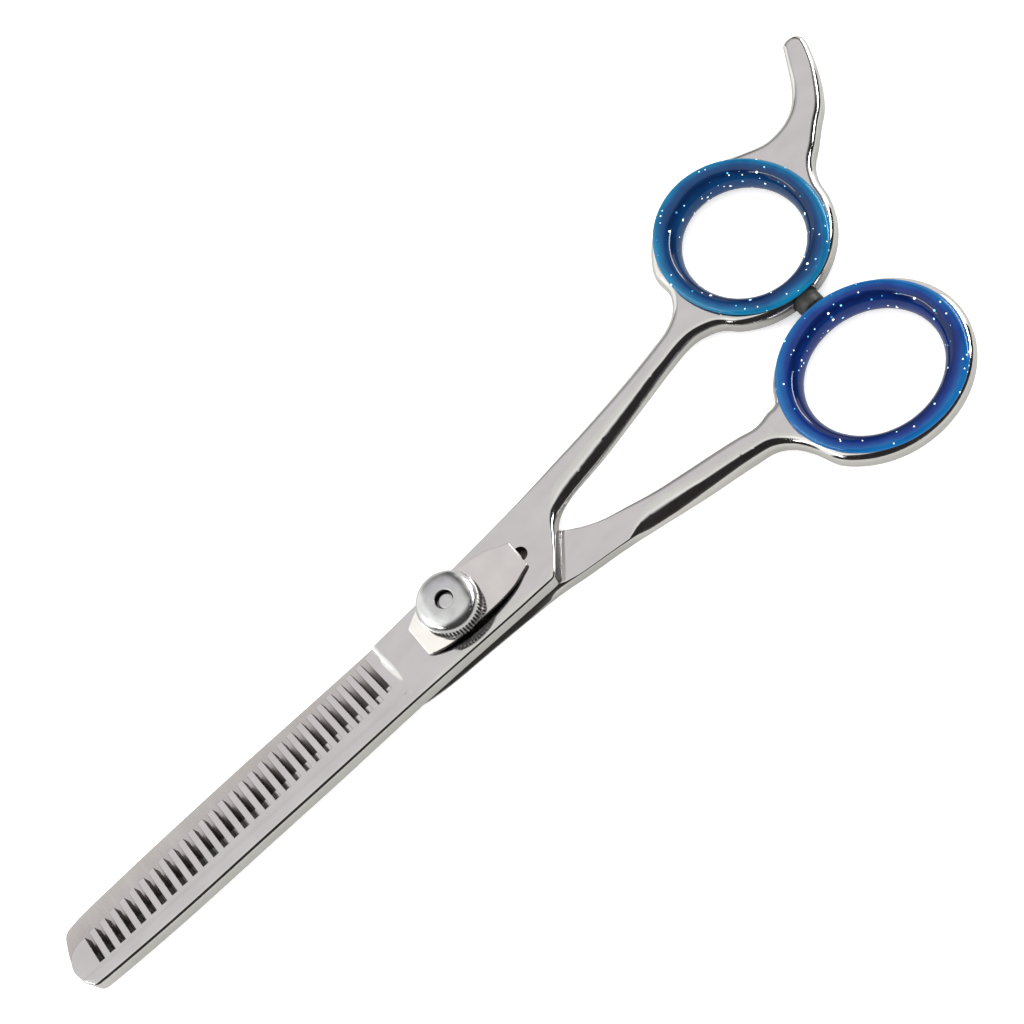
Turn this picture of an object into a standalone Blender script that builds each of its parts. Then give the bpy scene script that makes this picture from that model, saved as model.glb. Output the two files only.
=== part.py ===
"""Thinning shears, about 6.5 inches: a comb blade and a plain blade on one adjustable pivot.

Frame: +X from the pivot towards the finger rings, +Y towards the finger ring, +Z up through
the tension nut.  The origin is the centre of the pivot screw's flat head, the lowest point of
the pivot, so the shears lie on z = 0.  All design values are in millimetres, scaled by MM.
"""
import math

import bmesh
import bpy
from mathutils import Matrix, Vector

MM = 0.001

# Heights above the surface that the shears lie on
PARTING_Z = 3.3            # plane where the two halves meet
HALF_GAP = 0.15            # each half stays this far from the parting plane
PLATE_TOP = PARTING_Z + 3.0
BLADE_TOP = PARTING_Z + 2.95
PLATE_BOTTOM = 0.3
FRONT_INNER = PARTING_Z + HALF_GAP
REAR_INNER = PARTING_Z - HALF_GAP

# Comb
SLOT_COUNT = 29
SLOT_WIDTH = 1.0
FIRST_SLOT_X = -75.2
LAST_SLOT_X = -15.6
FIRST_SLOT_LEAN = 2.3      # degrees from +Y towards +X: the slots fan out slightly
LAST_SLOT_LEAN = -4.1
FIRST_ROOT_Y = -4.35
LAST_ROOT_Y = -3.0
LAST_SLOT_LIFT = 0.5       # the slot next to the pivot block is cut less deep

# Pivot
SHAFT_RADIUS = 2.0
BORE_RADIUS = 2.15
NECK_SIDE = 3.9            # square neck that locks the screw to the plain half
NECK_HOLE_SIDE = 4.4
HEAD_RADIUS = 3.8
HEAD_RECESS_RADIUS = 4.1
HEAD_HEIGHT = 0.8
HEAD_RECESS_TOP = 1.05
NECK_TOP = 2.9
THREAD_RADIUS = 1.25
SHAFT_TOP = 7.6
SCREW_TOP = 11.6

# Tension nut
NUT_BOTTOM = 8.4
NUT_RADIUS = 5.2
KNURL_HEIGHT = 2.7
NUT_TAPER = 0.2            # the knurled wall is this much narrower at its top
KNURL_COUNT = 57
KNURL_DEPTH = 0.16
DOME_RADIUS = 4.8
DOME_BOTTOM = 11.35
NUT_TOP = 12.5
NUT_HOLE_RADIUS = 1.5

# Leaf spring
SPRING_THICKNESS = 0.6
SPRING_LEFT = -7.4
SPRING_RIGHT = 12.8
SPRING_CROWN = NUT_BOTTOM - 0.1
SPRING_END = PLATE_TOP + SPRING_THICKNESS + 0.1
SPRING_HOLE_RADIUS = 2.4
TAB_X = 13.0
TAB_HOLE_RADIUS = 1.2
TAB_WIDTH = 1.3
TAB_DEPTH = 1.3

# Rings: centre, half axes and tilt in degrees of each ellipse
RING_HALF_HEIGHT = 2.0
FINGER_CENTRE = (71.25, 15.8)
FINGER_OUTER = (14.95, 14.45)
FINGER_INNER = (11.8, 10.95)
FINGER_FLANGE = (14.4, 13.0)
FINGER_TILT = 103.0
FINGER_OUTER_TILT = 0.0
FINGER_FLANGE_TILT = 110.0
THUMB_CENTRE = (71.3, -15.0)
THUMB_OUTER = (16.1, 14.15)
THUMB_INNER = (12.65, 11.5)
THUMB_FLANGE = (15.0, 13.7)
THUMB_TILT = -3.0
THUMB_OUTER_TILT = -5.0
THUMB_FLANGE_TILT = -15.0

# Ring inserts
INSERT_CLEARANCE = 0.25    # between the metal's hole and the insert's wall
FLANGE_BOTTOM = RING_HALF_HEIGHT + 0.25
FLANGE_TOP = RING_HALF_HEIGHT + 1.1

# Bumper between the rings
BUMPER_X = 71.7
BUMPER_RADIUS = 2.2
BUMPER_TOP = 1.9
BUMPER_BOTTOM = -0.85
STEM_RADIUS = 0.9
STEM_TOP = 3.4

CORNER_STEPS = 2
RING_STEPS = 40
ROUND_STEPS = 48


def clear_scene():
    for thing in list(bpy.data.objects):
        bpy.data.objects.remove(thing, do_unlink=True)


def make_collection(name):
    collection = bpy.data.collections.new(name)
    bpy.context.scene.collection.children.link(collection)
    return collection


def material(name, color, roughness, metallic, transmission=0.0):
    made = bpy.data.materials.new(name)
    made.use_nodes = True
    shader = made.node_tree.nodes["Principled BSDF"]
    shader.inputs["Base Color"].default_value = (*color, 1.0)
    shader.inputs["Roughness"].default_value = roughness
    shader.inputs["Metallic"].default_value = metallic
    shader.inputs["Transmission Weight"].default_value = transmission
    return made


def new_object(name, mesh, collection):
    made = bpy.data.objects.new(name, mesh)
    collection.objects.link(made)
    return made


def mesh_from_bmesh(name, bm):
    bmesh.ops.recalc_face_normals(bm, faces=bm.faces)
    mesh = bpy.data.meshes.new(name)
    bm.to_mesh(mesh)
    bm.free()
    mesh.transform(Matrix.Scale(MM, 4))
    return mesh


def finish(thing, surface, crease_angle=35.0):
    thing.data.materials.clear()
    thing.data.materials.append(surface)
    thing.data.shade_smooth()
    thing.data.set_sharp_from_angle(angle=math.radians(crease_angle))


def mark_cutter(cutter):
    cutter.hide_render = True
    cutter.display_type = "WIRE"


def boolean(target, tool, operation):
    change = target.modifiers.new(operation.lower() + "_" + tool.name, "BOOLEAN")
    change.object = tool
    change.operation = operation
    mark_cutter(tool)


# ---------------------------------------------------------------- sections and lofts

def rounded_corner(before, corner, after, radius, steps):
    """Points along the round that replaces one corner of a section."""
    to_before = (before - corner).normalized()
    to_after = (after - corner).normalized()
    half_angle = to_before.angle(to_after) / 2
    reach = radius / math.tan(half_angle)
    start = corner + to_before * reach
    end = corner + to_after * reach
    points = []
    for step in range(steps + 1):
        t = step / steps
        points.append(start * (1 - t) ** 2 + corner * (2 * t * (1 - t)) + end * t ** 2)
    return points


def rounded_section(corners, radii, steps=CORNER_STEPS):
    points = []
    for i, corner in enumerate(corners):
        before = corners[i - 1]
        after = corners[(i + 1) % len(corners)]
        points += rounded_corner(before, corner, after, radii[i], steps)
    return points


def loft(name, sections, closed=False):
    """Skin through sections that have the same number of points; ends are capped unless closed."""
    bm = bmesh.new()
    rings = [[bm.verts.new(point) for point in section] for section in sections]
    count = len(rings[0])
    spans = len(rings) if closed else len(rings) - 1
    for s in range(spans):
        ring, following = rings[s], rings[(s + 1) % len(rings)]
        for i in range(count):
            j = (i + 1) % count
            bm.faces.new((ring[i], ring[j], following[j], following[i]))
    if not closed:
        bm.faces.new(rings[0])
        bm.faces.new(rings[-1])
    bmesh.ops.triangulate(bm, faces=[face for face in bm.faces if len(face.verts) > 3])
    return mesh_from_bmesh(name, bm)


def front_section(x, low_y, high_y, low_z, high_z, radius, low_draft, high_draft, edge_drop):
    """Section of the toothed half across X.  Its walls lean out at the foot by their drafts,
    and its outer face falls by edge_drop towards +Y."""
    corners = [
        Vector((x, low_y - low_draft, low_z)),
        Vector((x, high_y + high_draft, low_z)),
        Vector((x, high_y, high_z - edge_drop)),
        Vector((x, low_y, high_z)),
    ]
    return rounded_section(corners, [radius] * 4)


def rear_section(x, low_y, high_y, low_z, high_z, radius, edge_lift=0.0):
    """Section of the plain half across X; its outer face rises by edge_lift towards -Y."""
    corners = [
        Vector((x, low_y, low_z + edge_lift)),
        Vector((x, high_y, low_z)),
        Vector((x, high_y, high_z)),
        Vector((x, low_y, high_z)),
    ]
    return rounded_section(corners, [radius] * 4)


def ellipse_point(centre, half_axes, tilt, angle, z):
    turn = math.radians(tilt)
    along = half_axes[0] * math.cos(angle - turn)
    across = half_axes[1] * math.sin(angle - turn)
    x = centre[0] + along * math.cos(turn) - across * math.sin(turn)
    y = centre[1] + along * math.sin(turn) + across * math.cos(turn)
    return Vector((x, y, z))


def ring_mesh(name, centre, outer, outer_tilt, inner, inner_tilt, radius):
    sections = []
    for step in range(RING_STEPS):
        angle = 2 * math.pi * step / RING_STEPS
        corners = []
        for axes, tilt, z in (
            (inner, inner_tilt, PARTING_Z - RING_HALF_HEIGHT),
            (outer, outer_tilt, PARTING_Z - RING_HALF_HEIGHT),
            (outer, outer_tilt, PARTING_Z + RING_HALF_HEIGHT),
            (inner, inner_tilt, PARTING_Z + RING_HALF_HEIGHT),
        ):
            corners.append(ellipse_point(centre, axes, tilt, angle, z))
        sections.append(rounded_section(corners, [0.3, radius, radius, 0.3]))
    return loft(name, sections, closed=True)


def ellipse_cutter(name, centre, axes, tilt, collection):
    sections = []
    for z in (PARTING_Z - 6, PARTING_Z + 6):
        angles = [2 * math.pi * step / RING_STEPS for step in range(RING_STEPS)]
        sections.append([ellipse_point(centre, axes, tilt, angle, z) for angle in angles])
    return new_object(name, loft(name, sections), collection)


def cylinder(name, radius, start, end, collection, steps=ROUND_STEPS):
    start, end = Vector(start), Vector(end)
    axis = end - start
    bm = bmesh.new()
    bmesh.ops.create_cone(
        bm, cap_ends=True, segments=steps, radius1=radius, radius2=radius, depth=axis.length
    )
    place = Matrix.Translation((start + end) / 2) @ Vector((0, 0, 1)).rotation_difference(axis).to_matrix().to_4x4()
    bmesh.ops.transform(bm, matrix=place, verts=bm.verts)
    return new_object(name, mesh_from_bmesh(name, bm), collection)


def box(name, low, high, collection):
    low, high = Vector(low), Vector(high)
    size = high - low
    bm = bmesh.new()
    bmesh.ops.create_cube(bm, size=1.0)
    place = Matrix.Translation((low + high) / 2) @ Matrix.Diagonal((*size, 1.0))
    bmesh.ops.transform(bm, matrix=place, verts=bm.verts)
    return new_object(name, mesh_from_bmesh(name, bm), collection)


# ---------------------------------------------------------------- toothed half

# x, -Y side of the top face, +Y side
COMB_STATIONS = (
    (-79.7, -4.2, -1.9),
    (-79.2, -5.5, -0.9),
    (-78.2, -6.7, -0.1),
    (-76.6, -7.05, 0.4),
    (-70.0, -7.25, 0.95),
    (-60.0, -7.35, 1.75),
    (-46.0, -7.2, 2.6),
    (-30.0, -7.05, 3.5),
    (-16.0, -6.85, 4.2),
    (-14.6, -6.85, 4.4),
)
# x, -Y side, +Y side, underside, top, corner radius
FRONT_STATIONS = (
    (-14.0, -6.8, 4.7, FRONT_INNER, PLATE_TOP - 0.1, 0.25),
    (-13.2, -6.8, 4.8, FRONT_INNER, PLATE_TOP, 0.25),
    (0.0, -6.78, 5.5, FRONT_INNER, PLATE_TOP, 0.3),
    (14.3, -6.75, 6.5, FRONT_INNER, PLATE_TOP, 0.35),
    (15.2, -6.1, 6.6, FRONT_INNER, PLATE_TOP, 0.4),
    (17.5, -3.1, 6.8, FRONT_INNER, PLATE_TOP, 0.5),
    (20.2, 0.1, 7.1, FRONT_INNER, PLATE_TOP, 0.6),
    (21.9, 1.3, 7.35, FRONT_INNER, PLATE_TOP, 0.7),
    (24.8, 2.2, 7.8, PARTING_Z - 0.2, PLATE_TOP - 0.1, 0.9),
    (32.2, 3.6, 8.9, PARTING_Z - 0.9, PLATE_TOP - 0.35, 1.3),
    (41.0, 5.7, 10.4, PARTING_Z - 1.5, PLATE_TOP - 0.6, 1.5),
    (49.0, 7.7, 12.0, PARTING_Z - 1.8, PLATE_TOP - 0.9, 1.5),
    (53.0, 8.5, 13.0, PARTING_Z - 1.9, PLATE_TOP - 1.0, 1.4),
    (55.4, 8.7, 14.2, PARTING_Z - 1.9, PLATE_TOP - 1.1, 1.3),
    (57.0, 8.5, 17.5, PARTING_Z - 1.9, PLATE_TOP - 1.1, 1.3),
    (58.4, 8.3, 20.4, PARTING_Z - 1.9, PLATE_TOP - 1.1, 1.3),
)
BLADE_DRAFT = 0.15         # the comb's spine wall leans out by this much at its foot
COMB_EDGE_DROP = 0.6       # the comb is thinner at the tips of its teeth
SPINE_DRAFT = 0.7          # the pivot block's +Y wall leans out towards its foot

HEEL_X = 14.3              # the drafts fade out along the shank from here
DRAFT_FADE = 12.0

# Pairs of points, upper edge and lower edge, along the finger rest
REST_STATIONS = (
    ((78.2, 28.2), (85.8, 14.6)),
    ((80.8, 27.3), (87.9, 17.7)),
    ((84.6, 25.8), (90.3, 19.9)),
    ((88.4, 26.1), (92.7, 22.1)),
    ((91.4, 27.6), (95.2, 24.2)),
    ((93.7, 30.3), (97.5, 27.3)),
    ((95.6, 33.5), (99.3, 30.8)),
    ((97.4, 37.0), (100.8, 35.5)),
)
REST_HALF_HEIGHT = (1.9, 1.9, 1.8, 1.65, 1.5, 1.4, 1.3, 1.2)


def front_body_mesh():
    sections = []
    for x, low_y, high_y in COMB_STATIONS:
        sections.append(front_section(
            x, low_y, high_y, FRONT_INNER, BLADE_TOP, 0.12, BLADE_DRAFT, 0.0, COMB_EDGE_DROP))
    for x, low_y, high_y, low_z, high_z, radius in FRONT_STATIONS:
        fade = 1 - max(0.0, min(1.0, (x - HEEL_X) / DRAFT_FADE))
        sections.append(front_section(
            x, low_y, high_y, low_z, high_z, radius, BLADE_DRAFT * fade, SPINE_DRAFT * fade, 0.0))
    return loft("toothed_half", sections)


def finger_rest_mesh():
    sections = []
    for (upper, lower), half_height in zip(REST_STATIONS, REST_HALF_HEIGHT):
        corners = [
            Vector((*upper, PARTING_Z - half_height)),
            Vector((*lower, PARTING_Z - half_height)),
            Vector((*lower, PARTING_Z + half_height)),
            Vector((*upper, PARTING_Z + half_height)),
        ]
        sections.append(rounded_section(corners, [0.9] * 4))
    return loft("finger_rest", sections)


def slot_cutters(collection):
    """All the gaps of the comb in one cutter, leaning as they fan along the blade."""
    reach = 12.0
    bm = bmesh.new()
    for i in range(SLOT_COUNT):
        t = i / (SLOT_COUNT - 1)
        x = FIRST_SLOT_X + t * (LAST_SLOT_X - FIRST_SLOT_X)
        lean = math.radians(FIRST_SLOT_LEAN + t * (LAST_SLOT_LEAN - FIRST_SLOT_LEAN))
        root = FIRST_ROOT_Y + t * (LAST_ROOT_Y - FIRST_ROOT_Y)
        if i == SLOT_COUNT - 1:
            root += LAST_SLOT_LIFT
        place = (
            Matrix.Translation((x, root, PARTING_Z + 2))
            @ Matrix.Rotation(-lean, 4, "Z")
            @ Matrix.Translation((0, reach / 2, 0))
            @ Matrix.Diagonal((SLOT_WIDTH, reach, 8, 1))
        )
        bmesh.ops.create_cube(bm, size=1.0, matrix=place)
    cutter = new_object("comb_slots", mesh_from_bmesh("comb_slots", bm), collection)
    return cutter


def toothed_half(parts, cutters, steel):
    half = new_object("toothed_half", front_body_mesh(), parts)
    ring = new_object(
        "finger_ring",
        ring_mesh(
            "finger_ring", FINGER_CENTRE, FINGER_OUTER, FINGER_OUTER_TILT, FINGER_INNER, FINGER_TILT, 1.3),
        cutters)
    rest = new_object("finger_rest", finger_rest_mesh(), cutters)
    boolean(half, ring, "UNION")
    boolean(half, rest, "UNION")
    boolean(half, ellipse_cutter("finger_hole", FINGER_CENTRE, FINGER_INNER, FINGER_TILT, cutters), "DIFFERENCE")
    boolean(half, slot_cutters(cutters), "DIFFERENCE")
    bore = cylinder("front_bore", BORE_RADIUS, (0, 0, 1), (0, 0, 8), cutters)
    boolean(half, bore, "DIFFERENCE")
    tab_hole = cylinder("tab_hole", TAB_HOLE_RADIUS, (TAB_X, 0, 4.6), (TAB_X, 0, 8), cutters, 24)
    boolean(half, tab_hole, "DIFFERENCE")
    seat = cylinder(
        "bumper_seat", BUMPER_RADIUS + 0.2, (BUMPER_X, -3, PARTING_Z), (BUMPER_X, BUMPER_TOP + 0.2, PARTING_Z),
        cutters, 24)
    boolean(half, seat, "DIFFERENCE")
    stem = cylinder(
        "stem_hole", STEM_RADIUS + 0.2, (BUMPER_X, 1, PARTING_Z), (BUMPER_X, STEM_TOP + 0.2, PARTING_Z),
        cutters, 16)
    boolean(half, stem, "DIFFERENCE")
    finish(half, steel)
    return half


# ---------------------------------------------------------------- plain half

# x, cutting edge side, spine side
PLAIN_BLADE_STATIONS = (
    (-80.5, -3.0, -0.8),
    (-80.1, -4.2, 1.0),
    (-79.4, -4.9, 2.8),
    (-78.4, -5.1, 4.5),
    (-76.2, -5.2, 5.05),
    (-67.0, -5.2, 5.55),
    (-46.0, -5.1, 6.05),
    (-25.0, -5.0, 6.2),
    (-18.0, -5.0, 6.25),
)
# x, -Y side, +Y side, underside, top, corner radius
REAR_STATIONS = (
    (-13.5, -6.6, 6.3, PLATE_BOTTOM, REAR_INNER, 0.3),
    (0.0, -7.1, 6.8, PLATE_BOTTOM, REAR_INNER, 0.35),
    (10.0, -7.4, 6.6, PLATE_BOTTOM, REAR_INNER, 0.4),
    (14.3, -7.6, 5.4, PLATE_BOTTOM, REAR_INNER, 0.4),
    (17.5, -7.9, 2.8, PLATE_BOTTOM, REAR_INNER, 0.5),
    (20.2, -8.2, -0.2, PLATE_BOTTOM, REAR_INNER, 0.6),
    (24.8, -8.8, -2.9, PLATE_BOTTOM, REAR_INNER, 0.7),
    (30.0, -9.7, -4.3, PLATE_BOTTOM + 0.1, REAR_INNER + 0.1, 0.9),
    (35.0, -10.6, -5.6, PLATE_BOTTOM + 0.3, PARTING_Z + 0.9, 1.2),
    (41.0, -11.8, -6.9, PLATE_BOTTOM + 0.5, PARTING_Z + 1.5, 1.5),
    (49.0, -13.1, -8.6, PLATE_BOTTOM + 0.8, PARTING_Z + 1.8, 1.5),
    (52.4, -13.9, -9.4, PLATE_BOTTOM + 0.9, PARTING_Z + 1.9, 1.4),
    (54.4, -16.0, -9.2, PLATE_BOTTOM + 1.0, PARTING_Z + 1.9, 1.3),
    (55.9, -19.2, -8.2, PLATE_BOTTOM + 1.0, PARTING_Z + 1.9, 1.3),
    (57.4, -21.4, -7.4, PLATE_BOTTOM + 1.0, PARTING_Z + 1.9, 1.3),
)
PLAIN_EDGE_LIFT = 2.2      # the plain blade tapers to a thin cutting edge
HOLLOW_RADIUS = 20.0
HOLLOW_DEPTH = 0.6
HOLLOW_LEFT_Y = 3.0        # middle of the hollow grind at the tip and near the pivot
HOLLOW_RIGHT_Y = 4.3


def rear_body_mesh():
    sections = []
    for x, low_y, high_y in PLAIN_BLADE_STATIONS:
        sections.append(rear_section(x, low_y, high_y, PLATE_BOTTOM, REAR_INNER, 0.1, PLAIN_EDGE_LIFT))
    for station in REAR_STATIONS:
        sections.append(rear_section(*station))
    return loft("plain_half", sections)


def plain_half(parts, cutters, steel):
    half = new_object("plain_half", rear_body_mesh(), parts)
    ring = new_object(
        "thumb_ring",
        ring_mesh(
            "thumb_ring", THUMB_CENTRE, THUMB_OUTER, THUMB_OUTER_TILT, THUMB_INNER, THUMB_TILT, 1.3),
        cutters)
    boolean(half, ring, "UNION")
    boolean(half, ellipse_cutter("thumb_hole", THUMB_CENTRE, THUMB_INNER, THUMB_TILT, cutters), "DIFFERENCE")
    hollow_z = REAR_INNER - HOLLOW_DEPTH + HOLLOW_RADIUS
    hollow = cylinder(
        "hollow_grind", HOLLOW_RADIUS, (-85, HOLLOW_LEFT_Y, hollow_z), (-15, HOLLOW_RIGHT_Y, hollow_z), cutters, 180)
    boolean(half, hollow, "DIFFERENCE")
    side = NECK_HOLE_SIDE / 2
    boolean(half, box("neck_hole", (-side, -side, -1), (side, side, 5), cutters), "DIFFERENCE")
    recess = cylinder("head_recess", HEAD_RECESS_RADIUS, (0, 0, -1), (0, 0, HEAD_RECESS_TOP), cutters)
    boolean(half, recess, "DIFFERENCE")
    finish(half, steel)
    return half


# ---------------------------------------------------------------- pivot parts

def pivot_screw(parts, steel):
    """Flat head, square neck, plain shaft and threaded end, as one turned and squared solid."""
    def circle(radius, z):
        points = []
        for step in range(ROUND_STEPS):
            angle = 2 * math.pi * (step + 0.5) / ROUND_STEPS
            points.append(Vector((radius * math.cos(angle), radius * math.sin(angle), z)))
        return points

    def square(side, z):
        points = []
        for point in circle(1.0, z):
            reach = side / 2 / max(abs(point.x), abs(point.y))
            points.append(Vector((point.x * reach, point.y * reach, z)))
        return points

    sections = [
        circle(HEAD_RADIUS - 0.2, 0.0),
        circle(HEAD_RADIUS, 0.2),
        circle(HEAD_RADIUS, HEAD_HEIGHT),
        square(NECK_SIDE, HEAD_HEIGHT),
        square(NECK_SIDE, NECK_TOP),
        circle(SHAFT_RADIUS * 0.96, NECK_TOP),
        circle(SHAFT_RADIUS * 0.96, SHAFT_TOP),
        circle(THREAD_RADIUS, SHAFT_TOP + 0.3),
        circle(THREAD_RADIUS, SCREW_TOP - 0.2),
        circle(THREAD_RADIUS - 0.2, SCREW_TOP),
    ]
    screw = new_object("pivot_screw", loft("pivot_screw", sections), parts)
    finish(screw, steel)
    return screw


def tension_nut(parts, steel):
    steps = KNURL_COUNT * 2

    def wall(radius, z, knurled):
        """One level of the nut; a knurled one goes in and out once per tooth."""
        points = []
        for step in range(steps):
            angle = 2 * math.pi * step / steps
            r = radius - KNURL_DEPTH * (step % 2) if knurled else radius
            points.append(Vector((r * math.cos(angle), r * math.sin(angle), z)))
        return points

    knurl_top = NUT_BOTTOM + KNURL_HEIGHT
    sections = [
        wall(NUT_HOLE_RADIUS, NUT_BOTTOM, False),
        wall(NUT_RADIUS - 0.35, NUT_BOTTOM, False),
        wall(NUT_RADIUS, NUT_BOTTOM + 0.2, True),
        wall(NUT_RADIUS - NUT_TAPER, knurl_top, True),
        wall(DOME_RADIUS, DOME_BOTTOM, False),
    ]
    dome_steps = 4
    rim = NUT_HOLE_RADIUS + 0.15
    for i in range(1, dome_steps + 1):
        angle = math.pi / 2 * i / dome_steps
        radius = rim + (DOME_RADIUS - rim) * math.cos(angle)
        sections.append(wall(radius, DOME_BOTTOM + (NUT_TOP - DOME_BOTTOM) * math.sin(angle), False))
    sections.append(wall(NUT_HOLE_RADIUS, NUT_TOP - 0.2, False))
    nut = new_object("tension_nut", loft("tension_nut", sections, closed=True), parts)
    finish(nut, steel)
    return nut


# x and half width of the leaf spring from its plain end to its tab end
SPRING_WIDTHS = (
    (SPRING_LEFT, 2.7),
    (-5.3, 3.7),
    (-3.0, 4.3),
    (0.0, 4.5),
    (3.0, 4.5),
    (6.0, 4.3),
    (9.4, 3.7),
    (11.4, 2.9),
    (SPRING_RIGHT, 2.35),
)


def spring_height(x):
    """Top face of the bowed spring: a cosine arch, crowned over the pivot."""
    reach = SPRING_RIGHT if x > 0 else SPRING_LEFT
    return SPRING_END + (SPRING_CROWN - SPRING_END) * (1 + math.cos(math.pi * x / reach)) / 2


def leaf_spring(parts, cutters, steel):
    sections = []
    for x, half_width in SPRING_WIDTHS:
        top = spring_height(x)
        sections.append([
            Vector((x, -half_width, top - SPRING_THICKNESS)),
            Vector((x, half_width, top - SPRING_THICKNESS)),
            Vector((x, half_width, top)),
            Vector((x, -half_width, top)),
        ])
    spring = new_object("leaf_spring", loft("leaf_spring", sections), parts)
    low = (SPRING_RIGHT - 0.35, -TAB_WIDTH / 2, PLATE_TOP - TAB_DEPTH)
    high = (SPRING_RIGHT + 0.25, TAB_WIDTH / 2, SPRING_END - 0.1)
    boolean(spring, box("spring_tab", low, high, cutters), "UNION")
    hole = cylinder("spring_hole", SPRING_HOLE_RADIUS, (0, 0, 6), (0, 0, 10), cutters)
    boolean(spring, hole, "DIFFERENCE")
    finish(spring, steel)
    return spring


# ---------------------------------------------------------------- soft parts

def ring_insert(name, centre, hole, hole_tilt, flange, flange_tilt, parts, surface):
    """Grommet: a wall through the metal ring with a rounded flange on each face.
    The profile holds (place, height): place 0 is the metal's hole and 1 the flange's edge."""
    def placed(place):
        return [inner + (outer - inner) * place for inner, outer in zip(hole, flange)]

    def turned(place):
        return hole_tilt + (flange_tilt - hole_tilt) * max(0.0, place)

    clearance = INSERT_CLEARANCE / (flange[1] - hole[1])
    profile = (
        (-0.62, 0.0),
        (-0.56, 1.7),
        (-0.18, FLANGE_TOP - 0.15),
        (0.26, FLANGE_TOP),
        (0.82, FLANGE_TOP - 0.15),
        (1.0, FLANGE_BOTTOM + 0.35),
        (0.95, FLANGE_BOTTOM),
        (-clearance, FLANGE_BOTTOM),
    )
    lower = [(place, -height) for place, height in profile[1:]]
    outline = list(profile) + lower[::-1]
    sections = []
    for step in range(RING_STEPS):
        angle = 2 * math.pi * step / RING_STEPS
        sections.append([
            ellipse_point(centre, placed(place), turned(place), angle, PARTING_Z + height)
            for place, height in outline
        ])
    insert = new_object(name, loft(name, sections, closed=True), parts)
    finish(insert, surface)
    return insert


def bumper(parts, rubber):
    """Rubber stop with a thinner stem, along Y."""
    def circle(radius, y):
        points = []
        for step in range(24):
            angle = 2 * math.pi * step / 24
            points.append(Vector((
                BUMPER_X + radius * math.cos(angle), y, PARTING_Z + radius * math.sin(angle))))
        return points

    sections = [
        circle(BUMPER_RADIUS - 0.3, BUMPER_BOTTOM),
        circle(BUMPER_RADIUS, BUMPER_BOTTOM + 0.3),
        circle(BUMPER_RADIUS, BUMPER_TOP),
        circle(STEM_RADIUS, BUMPER_TOP),
        circle(STEM_RADIUS, STEM_TOP),
    ]
    stop = new_object("bumper", loft("bumper", sections), parts)
    finish(stop, rubber)
    return stop


def hinge_empty(name, location, collection):
    axis = bpy.data.objects.new(name, None)
    axis.empty_display_size = 0.01
    axis.location = [value * MM for value in location]
    collection.objects.link(axis)
    return axis


def adopt(axis, children):
    bpy.context.view_layer.update()
    for child in children:
        child.parent = axis
        child.matrix_parent_inverse = axis.matrix_world.inverted()


def main():
    clear_scene()
    parts = make_collection("thinning_shears")
    cutters = make_collection("cutters")
    steel = material("polished_steel", (0.60, 0.58, 0.58), 0.12, 1.0)
    nut_steel = material("nut_steel", (0.55, 0.54, 0.54), 0.22, 1.0)
    finger_blue = material("teal_blue_vinyl", (0.01, 0.22, 0.50), 0.12, 0.0, 0.4)
    thumb_blue = material("royal_blue_vinyl", (0.01, 0.12, 0.50), 0.12, 0.0, 0.4)
    rubber = material("black_rubber", (0.02, 0.02, 0.02), 0.6, 0.0)

    front = toothed_half(parts, cutters, steel)
    plain_half(parts, cutters, steel)
    pivot_screw(parts, steel)
    nut = tension_nut(parts, nut_steel)
    spring = leaf_spring(parts, cutters, steel)
    finger_insert = ring_insert(
        "finger_ring_insert", FINGER_CENTRE, FINGER_INNER, FINGER_TILT, FINGER_FLANGE, FINGER_FLANGE_TILT,
        parts, finger_blue)
    ring_insert(
        "thumb_ring_insert", THUMB_CENTRE, THUMB_INNER, THUMB_TILT, THUMB_FLANGE, THUMB_FLANGE_TILT,
        parts, thumb_blue)
    stop = bumper(parts, rubber)

    blade_axis = hinge_empty("blade_pivot_axis", (0, 0, PARTING_Z), parts)
    nut_axis = hinge_empty("nut_axis", (0, 0, NUT_BOTTOM), parts)
    adopt(blade_axis, (front, spring, finger_insert, stop))
    adopt(nut_axis, (nut,))


main()
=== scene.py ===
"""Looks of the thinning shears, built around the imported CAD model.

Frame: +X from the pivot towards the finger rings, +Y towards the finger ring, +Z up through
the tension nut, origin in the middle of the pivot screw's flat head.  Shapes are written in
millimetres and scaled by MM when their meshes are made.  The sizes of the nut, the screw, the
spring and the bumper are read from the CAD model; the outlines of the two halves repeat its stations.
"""
import math

import bmesh
import bpy
from mathutils import Matrix, Vector


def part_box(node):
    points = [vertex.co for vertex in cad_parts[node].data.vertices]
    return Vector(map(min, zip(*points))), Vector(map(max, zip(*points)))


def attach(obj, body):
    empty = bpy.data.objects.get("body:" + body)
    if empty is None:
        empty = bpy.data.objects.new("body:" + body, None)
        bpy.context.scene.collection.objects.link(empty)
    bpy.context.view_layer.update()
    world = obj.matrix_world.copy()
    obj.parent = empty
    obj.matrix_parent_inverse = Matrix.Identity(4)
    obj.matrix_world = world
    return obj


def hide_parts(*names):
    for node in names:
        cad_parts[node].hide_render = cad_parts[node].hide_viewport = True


MM = 0.001

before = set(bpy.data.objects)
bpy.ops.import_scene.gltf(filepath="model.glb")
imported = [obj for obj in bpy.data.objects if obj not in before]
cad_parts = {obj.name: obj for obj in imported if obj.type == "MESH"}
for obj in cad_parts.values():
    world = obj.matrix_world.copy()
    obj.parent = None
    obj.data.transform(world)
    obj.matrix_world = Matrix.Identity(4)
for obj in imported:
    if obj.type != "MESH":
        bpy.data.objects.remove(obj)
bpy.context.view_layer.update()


def cad_box(node):
    """Lowest and highest corner of a CAD node, in millimetres."""
    low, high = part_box(node)
    return low / MM, high / MM


# ---------------------------------------------------------------- sizes

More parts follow.
